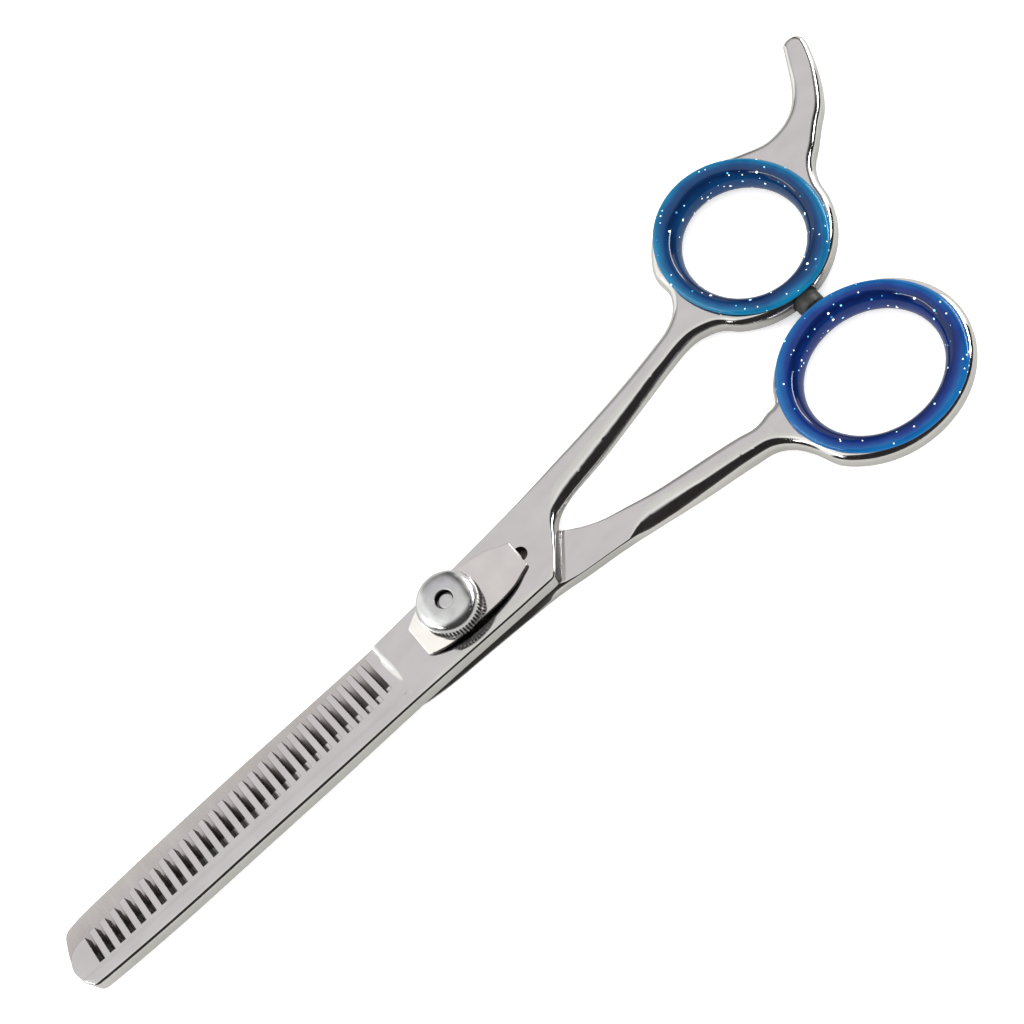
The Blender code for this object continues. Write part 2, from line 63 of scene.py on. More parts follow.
PARTING_Z = 3.3            # plane where the two halves meet
HALF_GAP = 0.15
PLATE_TOP = PARTING_Z + 3.0
PLATE_BOTTOM = 0.3
FRONT_INNER = PARTING_Z + HALF_GAP
REAR_INNER = PARTING_Z - HALF_GAP
SHANK_HALF_HEIGHT = 1.95

FINGER_CENTRE = (71.25, 15.8)
FINGER_OUTER = (14.95, 14.45, 0.0)       # half axes and tilt in degrees
FINGER_INNER = (11.8, 10.95, 103.0)
FINGER_FLANGE = (14.4, 13.0, 110.0)
THUMB_CENTRE = (71.3, -15.0)
THUMB_OUTER = (16.1, 14.15, -5.0)
THUMB_INNER = (12.65, 11.5, -3.0)
THUMB_FLANGE = (15.0, 13.7, -15.0)

SLOT_COUNT = 29
SLOT_WIDTH = 1.0
FIRST_SLOT_X = -75.2
LAST_SLOT_X = -15.6
FIRST_SLOT_LEAN = 2.3      # degrees from +Y towards +X
LAST_SLOT_LEAN = -4.1
FIRST_ROOT_Y = -4.35
LAST_ROOT_Y = -3.0
LAST_SLOT_LIFT = 0.5
SLOT_FLARE = 0.05          # worn edge of each slot

BORE_RADIUS = 2.15
NECK_HOLE_SIDE = 4.4
HEAD_RECESS_RADIUS = 4.1
HEAD_RECESS_TOP = 1.05
TAB_X = 13.0
TAB_HOLE_RADIUS = 1.2
TAB_HOLE_BOTTOM = 4.6
SEAT_GAP = 0.15            # around the bumper in its seat
SEAT_TOP_Y = 2.1
STEM_RADIUS = 1.1          # of the hole for its stem
STEM_TOP_Y = 3.6

ARC_STEPS = 7              # pieces of each rounding
ROLL_SLOPE = 0.09          # of the facet along a worked edge
PATH_STEP = 0.8            # longest piece of an outline


# ---------------------------------------------------------------- mesh helpers

def new_object(name, bm):
    """Object at the origin from a bmesh in millimetres."""
    bmesh.ops.recalc_face_normals(bm, faces=bm.faces)
    mesh = bpy.data.meshes.new(name)
    bm.to_mesh(mesh)
    bm.free()
    mesh.transform(Matrix.Scale(MM, 4))
    made = bpy.data.objects.new(name, mesh)
    bpy.context.scene.collection.objects.link(made)
    return made


def apply_modifiers(thing):
    graph = bpy.context.evaluated_depsgraph_get()
    mesh = bpy.data.meshes.new_from_object(thing.evaluated_get(graph))
    thing.modifiers.clear()
    thing.data = mesh


def cut(thing, *tools, operation="DIFFERENCE"):
    """Booleans applied at once; the cut faces take the tools' materials, and the tools are removed."""
    for tool in tools:
        change = thing.modifiers.new(tool.name, "BOOLEAN")
        change.object = tool
        change.operation = operation
        change.material_mode = "TRANSFER"
    apply_modifiers(thing)
    for tool in tools:
        bpy.data.objects.remove(tool, do_unlink=True)


def shade(thing, crease_angle=32.0, weighted=True):
    """Smooth shading that keeps creases sharp and large flats flat."""
    thing.data.shade_smooth()
    thing.data.set_sharp_from_angle(angle=math.radians(crease_angle))
    if weighted:
        even = thing.modifiers.new("even_normals", "WEIGHTED_NORMAL")
        even.keep_sharp = True
        even.weight = 80
        apply_modifiers(thing)


def set_material(thing, surface):
    thing.data.materials.clear()
    thing.data.materials.append(surface)
    return thing


def skin(name, sections, closed=False):
    """Quads through sections with the same number of points; ends are capped unless closed."""
    bm = bmesh.new()
    rings = [[bm.verts.new(point) for point in section] for section in sections]
    count = len(rings[0])
    spans = len(rings) if closed else len(rings) - 1
    for s in range(spans):
        ring, following = rings[s], rings[(s + 1) % len(rings)]
        for i in range(count):
            j = (i + 1) % count
            bm.faces.new((ring[i], ring[j], following[j], following[i]))
    if not closed:
        bm.faces.new(rings[0])
        bm.faces.new(rings[-1])
    return new_object(name, bm)


def circle_points(radius, steps, shift=0.0):
    """Points (x, y) of a circle, turned by a share of a step."""
    angles = [2 * math.pi * (i + shift) / steps for i in range(steps)]
    return [(radius * math.cos(angle), radius * math.sin(angle)) for angle in angles]


def cylinder(name, radius, start, end, steps=96):
    """Cylinder between two points, as a cutter."""
    start, end = Vector(start), Vector(end)
    axis = end - start
    turn = Vector((0, 0, 1)).rotation_difference(axis).to_matrix()
    sections = []
    for middle in (start, end):
        sections.append([middle + turn @ Vector((x, y, 0)) for x, y in circle_points(radius, steps)])
    return skin(name, sections)


def block(name, low, high):
    """Box between two corners, as a cutter or a joining piece."""
    bm = bmesh.new()
    low, high = Vector(low), Vector(high)
    place = Matrix.Translation((low + high) / 2) @ Matrix.Diagonal((*(high - low), 1.0))
    bmesh.ops.create_cube(bm, size=1.0, matrix=place)
    return new_object(name, bm)


def smoothstep(low, high, value):
    t = max(0.0, min(1.0, (value - low) / (high - low)))
    return t * t * (3 - 2 * t)


def along(keys, x):
    """Value at x on the smooth line through keys of (x, value)."""
    if x <= keys[0][0]:
        return keys[0][1]
    for (x0, v0), (x1, v1) in zip(keys, keys[1:]):
        if x <= x1:
            return v0 + (v1 - v0) * smoothstep(x0, x1, x)
    return keys[-1][1]


def ellipse_point(centre, axes, degrees):
    """Point on an ellipse, where axes holds both half axes and the tilt."""
    turn = math.radians(axes[2])
    angle = math.radians(degrees) - turn
    u = axes[0] * math.cos(angle)
    v = axes[1] * math.sin(angle)
    return Vector((
        centre[0] + u * math.cos(turn) - v * math.sin(turn),
        centre[1] + u * math.sin(turn) + v * math.cos(turn)))


# ---------------------------------------------------------------- plates with worked edges

def spline(keys, closed=True):
    """Centripetal Catmull-Rom through the first two numbers of each key; the rest go along evenly."""
    count = len(keys)
    spans = count if closed else count - 1
    path = []
    for i in range(spans):
        if closed:
            four = [keys[(i + k) % count] for k in (-1, 0, 1, 2)]
        else:
            four = [keys[max(0, min(count - 1, i + k))] for k in (-1, 0, 1, 2)]
        p = [Vector(key[:2]) for key in four]
        knots = [0.0]
        for a, b in zip(p, p[1:]):
            knots.append(knots[-1] + max(0.05, (b - a).length) ** 0.5)
        pieces = max(2, math.ceil((p[2] - p[1]).length / PATH_STEP))
        for step in range(pieces):
            share = step / pieces
            t = knots[1] + (knots[2] - knots[1]) * share
            points = p
            for level in (1, 2, 3):
                nearer = []
                for k in range(len(points) - 1):
                    low = k if level < 3 else 1
                    high = k + level if level < 3 else 2
                    t0, t1 = knots[low], knots[high]
                    near = (t - t0) / (t1 - t0)
                    nearer.append(points[k] * (1 - near) + points[k + 1] * near)
                points = nearer
            rest = [a + (b - a) * share for a, b in zip(four[1][2:], four[2][2:])]
            path.append((points[0], rest))
    if not closed:
        path.append((Vector(keys[-1][:2]), list(keys[-1][2:])))
    return path


def edge(top_round, bottom_round, draft=0.0, bulge=1.0, roll=0.0):
    """How a plate's edge is worked: its two roundings, the draft of its wall, how full the top rounding is
    (0 is a chamfer), and the width of a shallow polished facet along the upper face's edge."""
    return top_round, bottom_round, draft, bulge, roll


def edge_profile(height, top_round, bottom_round, draft, bulge, roll):
    """Points (inset, share of height) up one wall, from the lower face's edge to the upper face's."""
    drop = roll * ROLL_SLOPE / height
    points = []
    low_round = min(bottom_round, height / 2)
    high_round = min(top_round, height - low_round)
    for step in range(ARC_STEPS + 1):
        angle = math.pi / 2 * step / ARC_STEPS
        points.append((bottom_round * (1 - math.sin(angle)), low_round * (1 - math.cos(angle)) / height))
    for step in range(ARC_STEPS + 1):
        t = step / ARC_STEPS
        angle = math.pi / 2 * t
        inset = (1 - math.cos(angle)) * bulge + t * (1 - bulge)
        rise = math.sin(angle) * bulge + t * (1 - bulge)
        points.append((top_round * inset, 1 - drop - high_round * (1 - rise) / height))
    points.append((top_round + roll, 1.0))
    return [(inset - draft * (1 - share), share) for inset, share in points]


def plate(name, outline, holes, top, bottom, cross_lines):
    """Closed solid inside an outline of (place, edge values) with worked edges.
    top and bottom give the height at (x, y); its faces are divided at every x in cross_lines."""
    bm = bmesh.new()
    level = bm.verts.layers.float.new("level")
    fill_edges = {0: [], -1: []}
    for path in [outline, *holes]:
        count = len(path)
        columns = []
        for i, (place, values) in enumerate(path):
            ahead = (path[(i + 1) % count][0] - path[i - 1][0]).normalized()
            inward = Vector((-ahead.y, ahead.x))
            height = top(place.x, place.y) - bottom(place.x, place.y)
            column = []
            for inset, share in edge_profile(height, *values):
                spot = place + inward * inset
                vert = bm.verts.new((spot.x, spot.y, 0))
                vert[level] = share
                column.append(vert)
            columns.append(column)
        for i in range(count):
            here, following = columns[i], columns[(i + 1) % count]
            for k in range(len(here) - 1):
                bm.faces.new((here[k], following[k], following[k + 1], here[k + 1]))
            for end in fill_edges:
                fill_edges[end].append(bm.edges.get((here[end], following[end])))
    for end, edges in fill_edges.items():
        bmesh.ops.triangle_fill(bm, edges=edges, use_beauty=True, normal=(0, 0, 1))
    for x in cross_lines:
        everything = bm.verts[:] + bm.edges[:] + bm.faces[:]
        bmesh.ops.bisect_plane(bm, geom=everything, plane_co=(x, 0, 0), plane_no=(1, 0, 0), dist=1e-5)
    for vert in bm.verts:
        low = bottom(vert.co.x, vert.co.y)
        vert.co.z = low + (top(vert.co.x, vert.co.y) - low) * vert[level]
    bm.verts.layers.float.remove(level)
    bmesh.ops.remove_doubles(bm, verts=bm.verts, dist=1e-4)
    return new_object(name, bm)


def arc_keys(centre, axes, first, last, step, values):
    """Keys along an ellipse from the first angle to the last, in degrees."""
    count = round(abs(last - first) / step)
    keys = []
    for i in range(count + 1):
        point = ellipse_point(centre, axes, first + (last - first) * i / count)
        keys.append((point.x, point.y, *values))
    return keys


# ---------------------------------------------------------------- toothed half

TIP_EDGE = edge(0.12, 0.1)
TOOTH_EDGE = edge(0.1, 0.08)
BLOCK_EDGE = edge(0.12, 0.1, 0.7)
SPINE_EDGE = edge(0.6, 0.1, 0.15)
HEEL_EDGE = edge(0.3, 0.2, 0.1, 0.7)
SHANK_EDGE = edge(3.0, 1.3)
SHANK_END_EDGE = edge(1.8, 1.8)
RING_EDGE = edge(1.5, 1.3)
RING_HOLE_EDGE = edge(0.3, 0.3)
REST_EDGE = edge(1.25, 1.1)
REST_TIP_EDGE = edge(0.95, 0.9)

# Lower edge of the toothed half from its tip to its heel
COMB_SPINE = (
    (-79.75, -3.6, *edge(0.15, 0.1, 0.1)),
    (-79.5, -4.6, *edge(0.15, 0.1, 0.1)),
    (-79.0, -5.7, *edge(0.2, 0.1, 0.1)),
    (-78.5, -6.5, *edge(0.3, 0.1, 0.1)),
    (-78.0, -6.95, *edge(0.45, 0.1, 0.1)),
    (-77.0, -7.08, *SPINE_EDGE),
    (-70.0, -7.3, *SPINE_EDGE),
    (-60.0, -7.4, *SPINE_EDGE),
    (-46.0, -7.25, *SPINE_EDGE),
    (-30.0, -7.1, *SPINE_EDGE),
    (-18.0, -6.9, *edge(0.5, 0.1, 0.1, 0.9)),
    (-11.0, -6.8, *edge(0.36, 0.1, 0.08, 0.6, 0.3)),
    (-4.0, -6.78, *edge(0.32, 0.1, 0.08, 0.5, 0.9)),
    (3.0, -6.78, *edge(0.32, 0.1, 0.08, 0.5, 1.2)),
    (8.0, -6.78, *edge(0.32, 0.1, 0.08, 0.5, 1.1)),
    (11.5, -6.76, *edge(0.32, 0.1, 0.08, 0.5, 0.3)),
    (13.6, -6.75, *edge(0.32, 0.1, 0.08, 0.6)),
)
HEEL = (
    (14.3, -6.7, *HEEL_EDGE),
    (14.9, -6.35, *HEEL_EDGE),
    (15.6, -5.55, *HEEL_EDGE),
    (17.5, -3.2, *edge(0.35, 0.2, 0.05, 0.7)),
    (19.4, -0.8, *edge(0.7, 0.4, 0.0, 0.8)),
    (20.9, 0.7, *edge(1.3, 0.8, 0.0, 0.9)),
    (22.4, 1.45, *edge(2.1, 1.1)),
    (24.8, 2.2, *SHANK_EDGE),
)
FINGER_SHANK_LOWER = (
    (32.2, 3.6, *SHANK_EDGE),
    (41.0, 5.7, *edge(2.5, 1.8)),
    (49.0, 7.7, *SHANK_END_EDGE),
    (53.0, 8.45, *SHANK_END_EDGE),
    (55.6, 8.55, *edge(1.6, 1.5)),
)
REST_LOWER = (
    (87.6, 17.6, *REST_EDGE),
    (90.3, 19.9, *REST_EDGE),
    (92.7, 22.1, *REST_EDGE),
    (95.2, 24.2, *REST_EDGE),
    (97.5, 27.3, *REST_EDGE),
    (99.3, 30.8, *REST_TIP_EDGE),
    (100.6, 34.2, *REST_TIP_EDGE),
    (100.75, 35.6, *REST_TIP_EDGE),
    (100.0, 36.6, *REST_TIP_EDGE),
    (98.7, 36.98, *REST_TIP_EDGE),
)
REST_UPPER = (
    (97.5, 36.6, *REST_TIP_EDGE),
    (96.9, 35.6, *REST_TIP_EDGE),
    (95.6, 33.3, *REST_TIP_EDGE),
    (93.7, 30.2, *REST_EDGE),
    (91.4, 27.6, *REST_EDGE),
    (88.4, 26.1, *REST_EDGE),
    (84.6, 25.8, *REST_EDGE),
    (81.4, 26.9, *REST_EDGE),
)
FINGER_SHANK_UPPER = (
    (57.2, 17.2, *edge(1.3, 1.4)),
    (55.6, 14.6, *edge(1.3, 1.5)),
    (53.0, 13.0, *edge(1.3, 1.3)),
    (49.0, 12.0, *edge(1.3, 1.3)),
    (41.0, 10.4, *edge(1.2, 1.3)),
    (32.2, 8.9, *edge(1.0, 1.3)),
    (24.8, 7.8, *edge(0.7, 1.1, 0.1)),
    (21.9, 7.35, *edge(0.5, 0.7, 0.3)),
    (17.5, 6.8, *edge(0.3, 0.3, 0.6)),
    (14.3, 6.5, *BLOCK_EDGE),
    (0.0, 5.5, *BLOCK_EDGE),
    (-10.0, 5.0, *BLOCK_EDGE),
    (-13.2, 4.8, *edge(0.12, 0.1, 0.3)),
)
TEETH_SIDE = (
    (-16.0, 4.3, *TOOTH_EDGE),
    (-30.0, 3.5, *TOOTH_EDGE),
    (-46.0, 2.6, *TOOTH_EDGE),
    (-60.0, 1.75, *TOOTH_EDGE),
    (-70.0, 0.95, *TOOTH_EDGE),
    (-76.6, 0.4, *TOOTH_EDGE),
    (-78.2, -0.1, *TIP_EDGE),
    (-79.2, -0.9, *TIP_EDGE),
    (-79.7, -1.9, *TIP_EDGE),
    (-79.85, -2.8, *TIP_EDGE),
)

FRONT_TOP = (
    (21.0, PLATE_TOP),
    (53.0, PARTING_Z + SHANK_HALF_HEIGHT),
)
FRONT_BOTTOM = (
    (20.5, FRONT_INNER),
    (52.0, PARTING_Z - SHANK_HALF_HEIGHT),
)
COMB_SLOPE = 0.06                        # the comb face falls towards the tips of the teeth
COMB_FLUSH_Y = -5.6                      # and leaves the block's face on this line
STEP_X = -13.0                           # the recessed comb face ends at a step, here at its lower end
STEP_Y = -4.4
STEP_LEAN = math.tan(math.radians(5.5))
STEP_CORNER = (3.0, 1.3)                 # half axes of its lower corner
STEP_WEAR = 0.2                          # how unevenly its top is worn
# offset past the foot of the step, height above the comb face, and share of the step's own height
STEP_PROFILE = (
    (-1.7, 0.0, 0.0),
    (-1.1, 0.01, 0.0),
    (-0.5, 0.04, 0.0),
    (0.0, 0.09, 0.0),
    (0.22, 0.02, 0.6),
    (0.33, 0.0, 0.76),
    (0.5, 0.0, 0.88),
    (0.7, 0.0, 0.97),
    (0.85, 0.0, 1.02),
)


def front_top(x, y):
    return along(FRONT_TOP, x)


def front_bottom(x, y):
    return along(FRONT_BOTTOM, x)


def comb_face(y):
    """Height of the recessed comb face."""
    return PLATE_TOP - COMB_SLOPE * (y - COMB_FLUSH_Y)


def recess_cutter():
    """Takes the comb face down as far as a step, worn round at its top, that turns one corner."""
    left, far, above = -90.0, 20.0, PLATE_TOP + 3
    corner_steps = 16
    along_x, along_y = STEP_CORNER
    sections = []
    for offset, lift, share in STEP_PROFILE:
        points = [Vector((left, far, 0)), Vector((left, STEP_Y - along_y - offset, 0))]
        for k in range(corner_steps + 1):
            turn = math.pi / 2 * k / corner_steps
            points.append(Vector((
                STEP_X - along_x + (along_x + offset) * math.sin(turn),
                STEP_Y - (along_y + offset) * math.cos(turn), 0)))
        for k in range(1, 9):
            y = STEP_Y + 1.5 * k
            worn = 1.0 + STEP_WEAR * math.sin(1.9 * y) if offset > 0.3 else 1.0
            points.append(Vector((STEP_X - STEP_LEAN * (y - STEP_Y) + offset * worn, y, 0)))
        points.append(Vector((STEP_X - STEP_LEAN * (far - STEP_Y) + offset, far, 0)))
        for point in points:
            drop = max(0.0, PLATE_TOP - comb_face(point.y))
            point.z = comb_face(point.y) + lift + share * drop
        sections.append(points)
    sections.append([Vector((p.x, p.y, above)) for p in sections[-1]])
    return skin("recess", sections)


def slot_cutters():
    """Slots that fan out slightly, each with a worn edge where it meets the comb face."""
    reach, depth, flare_rise = 12.0, 4.0, SLOT_FLARE * 20
    levels = ((0.0, -depth), (0.0, -SLOT_FLARE), (SLOT_FLARE, 0.0), (SLOT_FLARE + flare_rise, flare_rise))
    bm = bmesh.new()
    for i in range(SLOT_COUNT):
        t = i / (SLOT_COUNT - 1)
        x = FIRST_SLOT_X + t * (LAST_SLOT_X - FIRST_SLOT_X)
        lean = math.radians(FIRST_SLOT_LEAN + t * (LAST_SLOT_LEAN - FIRST_SLOT_LEAN))
        root = FIRST_ROOT_Y + t * (LAST_ROOT_Y - FIRST_ROOT_Y)
        if i == SLOT_COUNT - 1:
            root += LAST_SLOT_LIFT
        face = comb_face(root)
        place = Matrix.Translation((x, root, 0)) @ Matrix.Rotation(-lean, 4, "Z")
        rings = []
        for grow, rise in levels:
            half = SLOT_WIDTH / 2 + grow
            ring = []
            for px, py in ((-half, -grow), (half, -grow), (half, reach), (-half, reach)):
                spot = place @ Vector((px, py, 0))
                ring.append(bm.verts.new((spot.x, spot.y, face + rise - COMB_SLOPE * (spot.y - root))))
            rings.append(ring)
        bm.faces.new(rings[0])
        bm.faces.new(rings[-1])
        for low, high in zip(rings, rings[1:]):
            for k in range(4):
                j = (k + 1) % 4
                bm.faces.new((low[k], low[j], high[j], high[k]))
    return new_object("slots", bm)


def toothed_half(steel, milled_painted_shade):
    ring_low = arc_keys(FINGER_CENTRE, FINGER_OUTER, 216, 355, 12, RING_EDGE)
    ring_high = arc_keys(FINGER_CENTRE, FINGER_OUTER, 74, 158, 12, RING_EDGE)
    outline = spline([
        *COMB_SPINE, *HEEL, *FINGER_SHANK_LOWER, *ring_low, *REST_LOWER, *REST_UPPER, *ring_high,
        *FINGER_SHANK_UPPER, *TEETH_SIDE])
    hole = spline(arc_keys(FINGER_CENTRE, FINGER_INNER, 360, 8, 8, RING_HOLE_EDGE))
    half = plate("toothed_half_body", outline, [hole], front_top, front_bottom, range(20, 56, 2))
    set_material(half, steel)
    seat_low, seat_high = cad_box("bumper")
    seat_x = (seat_low.x + seat_high.x) / 2
    seat_radius = (seat_high.x - seat_low.x) / 2 + SEAT_GAP
    cutters = (
        slot_cutters(),
        cylinder("bore", BORE_RADIUS, (0, 0, 1), (0, 0, 9)),
        cylinder("tab_hole", TAB_HOLE_RADIUS, (TAB_X, 0, TAB_HOLE_BOTTOM), (TAB_X, 0, 9), 64),
        cylinder("seat", seat_radius, (seat_x, -3, PARTING_Z), (seat_x, SEAT_TOP_Y, PARTING_Z), 48),
        cylinder("stem_hole", STEM_RADIUS, (seat_x, 1, PARTING_Z), (seat_x, STEM_TOP_Y, PARTING_Z), 32),
    )
    # The slots and holes take the milled steel, whose near-black colour is painted shade.
    cut(half, set_material(recess_cutter(), steel), *[set_material(cutter, milled_painted_shade) for cutter in cutters])
    shade(half)
    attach(half, "toothed_side")
    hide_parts("toothed_half")
    return half


# ---------------------------------------------------------------- plain half

PLAIN_EDGE = edge(0.05, 0.05)
PLAIN_BACK = edge(0.1, 0.5)
PLAIN_BLOCK = edge(0.15, 0.4)
PLAIN_LEDGE = edge(2.2, 0.35, 0.0, 0.1)
THUMB_SHANK_EDGE = edge(2.9, 0.9, 0.45)
THUMB_SHANK_END = edge(1.7, 0.9, 0.35)

CUTTING_EDGE = (
    (-80.1, -4.2, *PLAIN_EDGE),
    (-79.4, -4.9, *PLAIN_EDGE),
    (-78.4, -5.1, *PLAIN_EDGE),
    (-76.2, -5.2, *PLAIN_EDGE),
    (-67.0, -5.2, *PLAIN_EDGE),
    (-46.0, -5.1, *PLAIN_EDGE),
    (-25.0, -5.0, *PLAIN_EDGE),
    (-18.0, -5.15, *PLAIN_EDGE),
    (-13.5, -5.7, *PLAIN_LEDGE),
    (-8.0, -6.3, *PLAIN_LEDGE),
    (0.0, -6.55, *PLAIN_LEDGE),
    (8.0, -6.85, *PLAIN_LEDGE),
    (12.5, -7.1, *edge(1.6, 0.4, 0.0, 0.3)),
    (15.5, -7.45, *edge(0.5, 0.5)),
    (18.0, -7.85, *edge(0.2, 0.5)),
    (24.8, -8.7, *edge(0.25, 0.7)),
    (27.0, -9.0, *edge(0.3, 0.8, 0.1)),
    (28.3, -9.15, *edge(1.2, 0.9, 0.2)),
    (29.8, -9.35, *edge(2.2, 0.9, 0.35)),
    (31.6, -9.6, *THUMB_SHANK_EDGE),
)
THUMB_SHANK_LOWER = (
    (35.0, -10.3, *THUMB_SHANK_EDGE),
    (41.0, -11.5, *edge(2.1, 0.9, 0.45)),
    (49.0, -12.95, *THUMB_SHANK_END),
    (52.4, -13.9, *edge(1.8, 1.2, 0.2)),
    (54.6, -15.8, *edge(1.7, 1.4)),
    (56.3, -18.6, *edge(1.6, 1.4)),
)
THUMB_SHANK_UPPER = (
    (55.2, -8.9, *edge(1.2, 1.4)),
    (52.4, -9.4, *edge(1.1, 1.5)),
    (49.0, -8.6, *edge(1.1, 1.5)),
    (41.0, -6.9, *edge(1.1, 1.5)),
    (35.0, -5.6, *edge(1.0, 1.4)),
    (30.0, -4.3, *edge(0.7, 1.0)),
    (24.8, -2.9, *edge(0.3, 0.7)),
    (20.2, -0.2, *edge(0.2, 0.5)),
    (17.5, 2.8, *PLAIN_BLOCK),
    (14.3, 5.4, *PLAIN_BLOCK),
    (10.0, 6.6, *PLAIN_BLOCK),
    (0.0, 6.8, *PLAIN_BLOCK),
    (-13.5, 6.3, *PLAIN_BLOCK),
    (-18.0, 6.25, *PLAIN_BACK),
    (-25.0, 6.2, *PLAIN_BACK),
    (-46.0, 6.05, *PLAIN_BACK),
    (-67.0, 5.55, *PLAIN_BACK),
    (-76.2, 5.05, *PLAIN_BACK),
    (-78.4, 4.5, *PLAIN_BACK),
    (-79.4, 2.8, *edge(0.1, 0.3)),
    (-80.1, 1.0, *edge(0.1, 0.2)),
    (-80.45, -0.8, *PLAIN_EDGE),
    (-80.46, -2.6, *PLAIN_EDGE),
)
PLAIN_TOP = (
    (27.0, REAR_INNER),
    (53.0, PARTING_Z + SHANK_HALF_HEIGHT),
)
PLAIN_BOTTOM = (
    (24.0, PLATE_BOTTOM),
    (53.0, PARTING_Z - SHANK_HALF_HEIGHT),
)
PLAIN_EDGE_LIFT = 2.2      # the plain blade tapers to a thin cutting edge
PLAIN_BACK_Y = 6.0
PLAIN_WIDTH = 11.0
WEDGE_END_X = (-19.0, -12.0)             # the taper runs out between these
HOLLOW_RADIUS = 20.0
HOLLOW_DEPTH = 0.6
HOLLOW_X = (-86.0, -14.0)
HOLLOW_LEFT_Y = 3.0        # middle of the hollow grind at the tip and near the pivot
HOLLOW_RIGHT_Y = 4.3


def plain_top(x, y):
    return along(PLAIN_TOP, x)


def plain_bottom(x, y):
    """The outer face is a wedge along the blade and flat from the pivot on."""
    wedge = 1 - smoothstep(*WEDGE_END_X, x)
    share = max(0.0, min(1.0, (PLAIN_BACK_Y - y) / PLAIN_WIDTH))
    return along(PLAIN_BOTTOM, x) + PLAIN_EDGE_LIFT * wedge * share


def plain_half(steel, ground, milled_painted_shade):
    ring = arc_keys(THUMB_CENTRE, THUMB_OUTER, 212, 514, 12, RING_EDGE)
    outline = spline([*CUTTING_EDGE, *THUMB_SHANK_LOWER, *ring, *THUMB_SHANK_UPPER])
    hole = spline(arc_keys(THUMB_CENTRE, THUMB_INNER, 360, 8, 8, RING_HOLE_EDGE))
    lines = [-19, -17.5, -16, -14.5, -13, -12, *range(22, 56, 2)]
    half = plate("plain_half_body", outline, [hole], plain_top, plain_bottom, lines)
    set_material(half, steel)
    hollow_z = REAR_INNER - HOLLOW_DEPTH + HOLLOW_RADIUS
    hollow_start = (HOLLOW_X[0], HOLLOW_LEFT_Y, hollow_z)
    hollow_end = (HOLLOW_X[1], HOLLOW_RIGHT_Y, hollow_z)
    side = NECK_HOLE_SIDE / 2
    head_recess = cylinder("head_recess", HEAD_RECESS_RADIUS, (0, 0, -1), (0, 0, HEAD_RECESS_TOP))
    cut(
        half,
        # The hollow takes the ground steel, with the teeth's shade painted on it.
        set_material(cylinder("hollow", HOLLOW_RADIUS, hollow_start, hollow_end, 360), ground),
        # The neck hole and the head recess take the milled steel, whose near-black colour is painted
        # shade.
        set_material(block("neck_hole", (-side, -side, -1), (side, side, 5)), milled_painted_shade),
        set_material(head_recess, milled_painted_shade),
    )
    shade(half)
    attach(half, "plain_side")
    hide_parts("plain_half")
    return half


# ---------------------------------------------------------------- pivot

KNURL_COUNT = 57
KNURL_STEPS = 8            # points round each tooth of the knurl
KNURL_DEPTH = 0.3
KNURL_SHADE = (0.25, 0.8)  # painted shade in the knurl's valleys starts and is full at these shares of the depth
NUT_HOLE_RADIUS = 1.5
# Side of the nut: distance in from its radius, height above its bottom, and share of the knurl
NUT_SIDE = (
    (0.75, 0.0, 0.0),
    (0.45, 0.03, 0.0),
    (0.12, 0.2, 1.0),
    (0.0, 0.42, 1.0),
    (0.04, 1.25, 1.0),
    (0.08, 2.35, 1.0),
    (0.11, 2.47, 0.85),
    (0.16, 2.53, 0.4),
    (0.2, 2.6, 0.0),
)
# Its hole: distance out from the hole's radius, depth below the top, and painted shade
NUT_BORE = (
    (0.03, 0.03, 0.0),
    (0.0, 0.1, 0.3),
    (0.0, 0.35, 1.0),
    (0.0, 1.6, 1.0),
)
NUT_CHAMFER = 0.12
DOME_STEPS = 14
DOME_POWER = 2.1           # 2 is an ellipse; less is flatter on the shoulder


def tension_nut(steel):
    """Knurled drum under a polished dome, with a chamfered hole.  A point attribute carries painted shade:
    it is 1 in the valleys of the knurl and inside the hole."""
    low, high = cad_box("tension_nut")
    radius = (high.x - low.x) / 2
    bottom, top = low.z, high.z
    steps = KNURL_COUNT * KNURL_STEPS
    painted_shade = []

    def level(r, z, knurl, shade_amount=0.0):
        points = []
        for i in range(steps):
            angle = 2 * math.pi * i / steps
            phase = (i % KNURL_STEPS) / KNURL_STEPS
            valley = 0.5 - 0.5 * math.cos(2 * math.pi * phase)
            reach = r - KNURL_DEPTH * knurl * valley
            # Painted shade: full deep in the knurl's valleys, and as given for the hole.
            painted_shade.append(max(shade_amount, knurl * smoothstep(*KNURL_SHADE, valley)))
            points.append(Vector((reach * math.cos(angle), reach * math.sin(angle), z)))
        return points

    hole = NUT_HOLE_RADIUS
    sections = [level(hole, bottom, 0, 1.0)]
    for inset, rise, knurl in NUT_SIDE:
        sections.append(level(radius - inset, bottom + rise, knurl))
    dome_radius = radius - NUT_SIDE[-1][0]
    dome_bottom = bottom + NUT_SIDE[-1][1]
    for i in range(1, DOME_STEPS + 1):
        share = i / DOME_STEPS
        r = dome_radius + (hole + NUT_CHAMFER - dome_radius) * share
        rise = (1 - (1 - share) ** DOME_POWER) ** (1 / DOME_POWER)
        sections.append(level(r, dome_bottom + (top - dome_bottom) * rise, 0))
    for outset, depth, shade_amount in NUT_BORE:
        sections.append(level(hole + outset, top - depth, 0, shade_amount))
    nut = skin("tension_nut_body", sections, closed=True)
    # The painted shade goes to the material as a point attribute.
    shaded = nut.data.attributes.new("painted_shade", "FLOAT", "POINT")
    shaded.data.foreach_set("value", painted_shade)
    shade(nut, 40.0, weighted=False)
    set_material(nut, steel)
    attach(nut, "nut")
    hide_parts("tension_nut")
    return nut


SCREW_NECK_SIDE = 3.9
SCREW_SHAFT_RADIUS = 1.92
THREAD_CREST_RADIUS = 1.45
THREAD_ROOT_RADIUS = 1.2
THREAD_PITCH = 0.5
THREAD_START_Z = 8.0


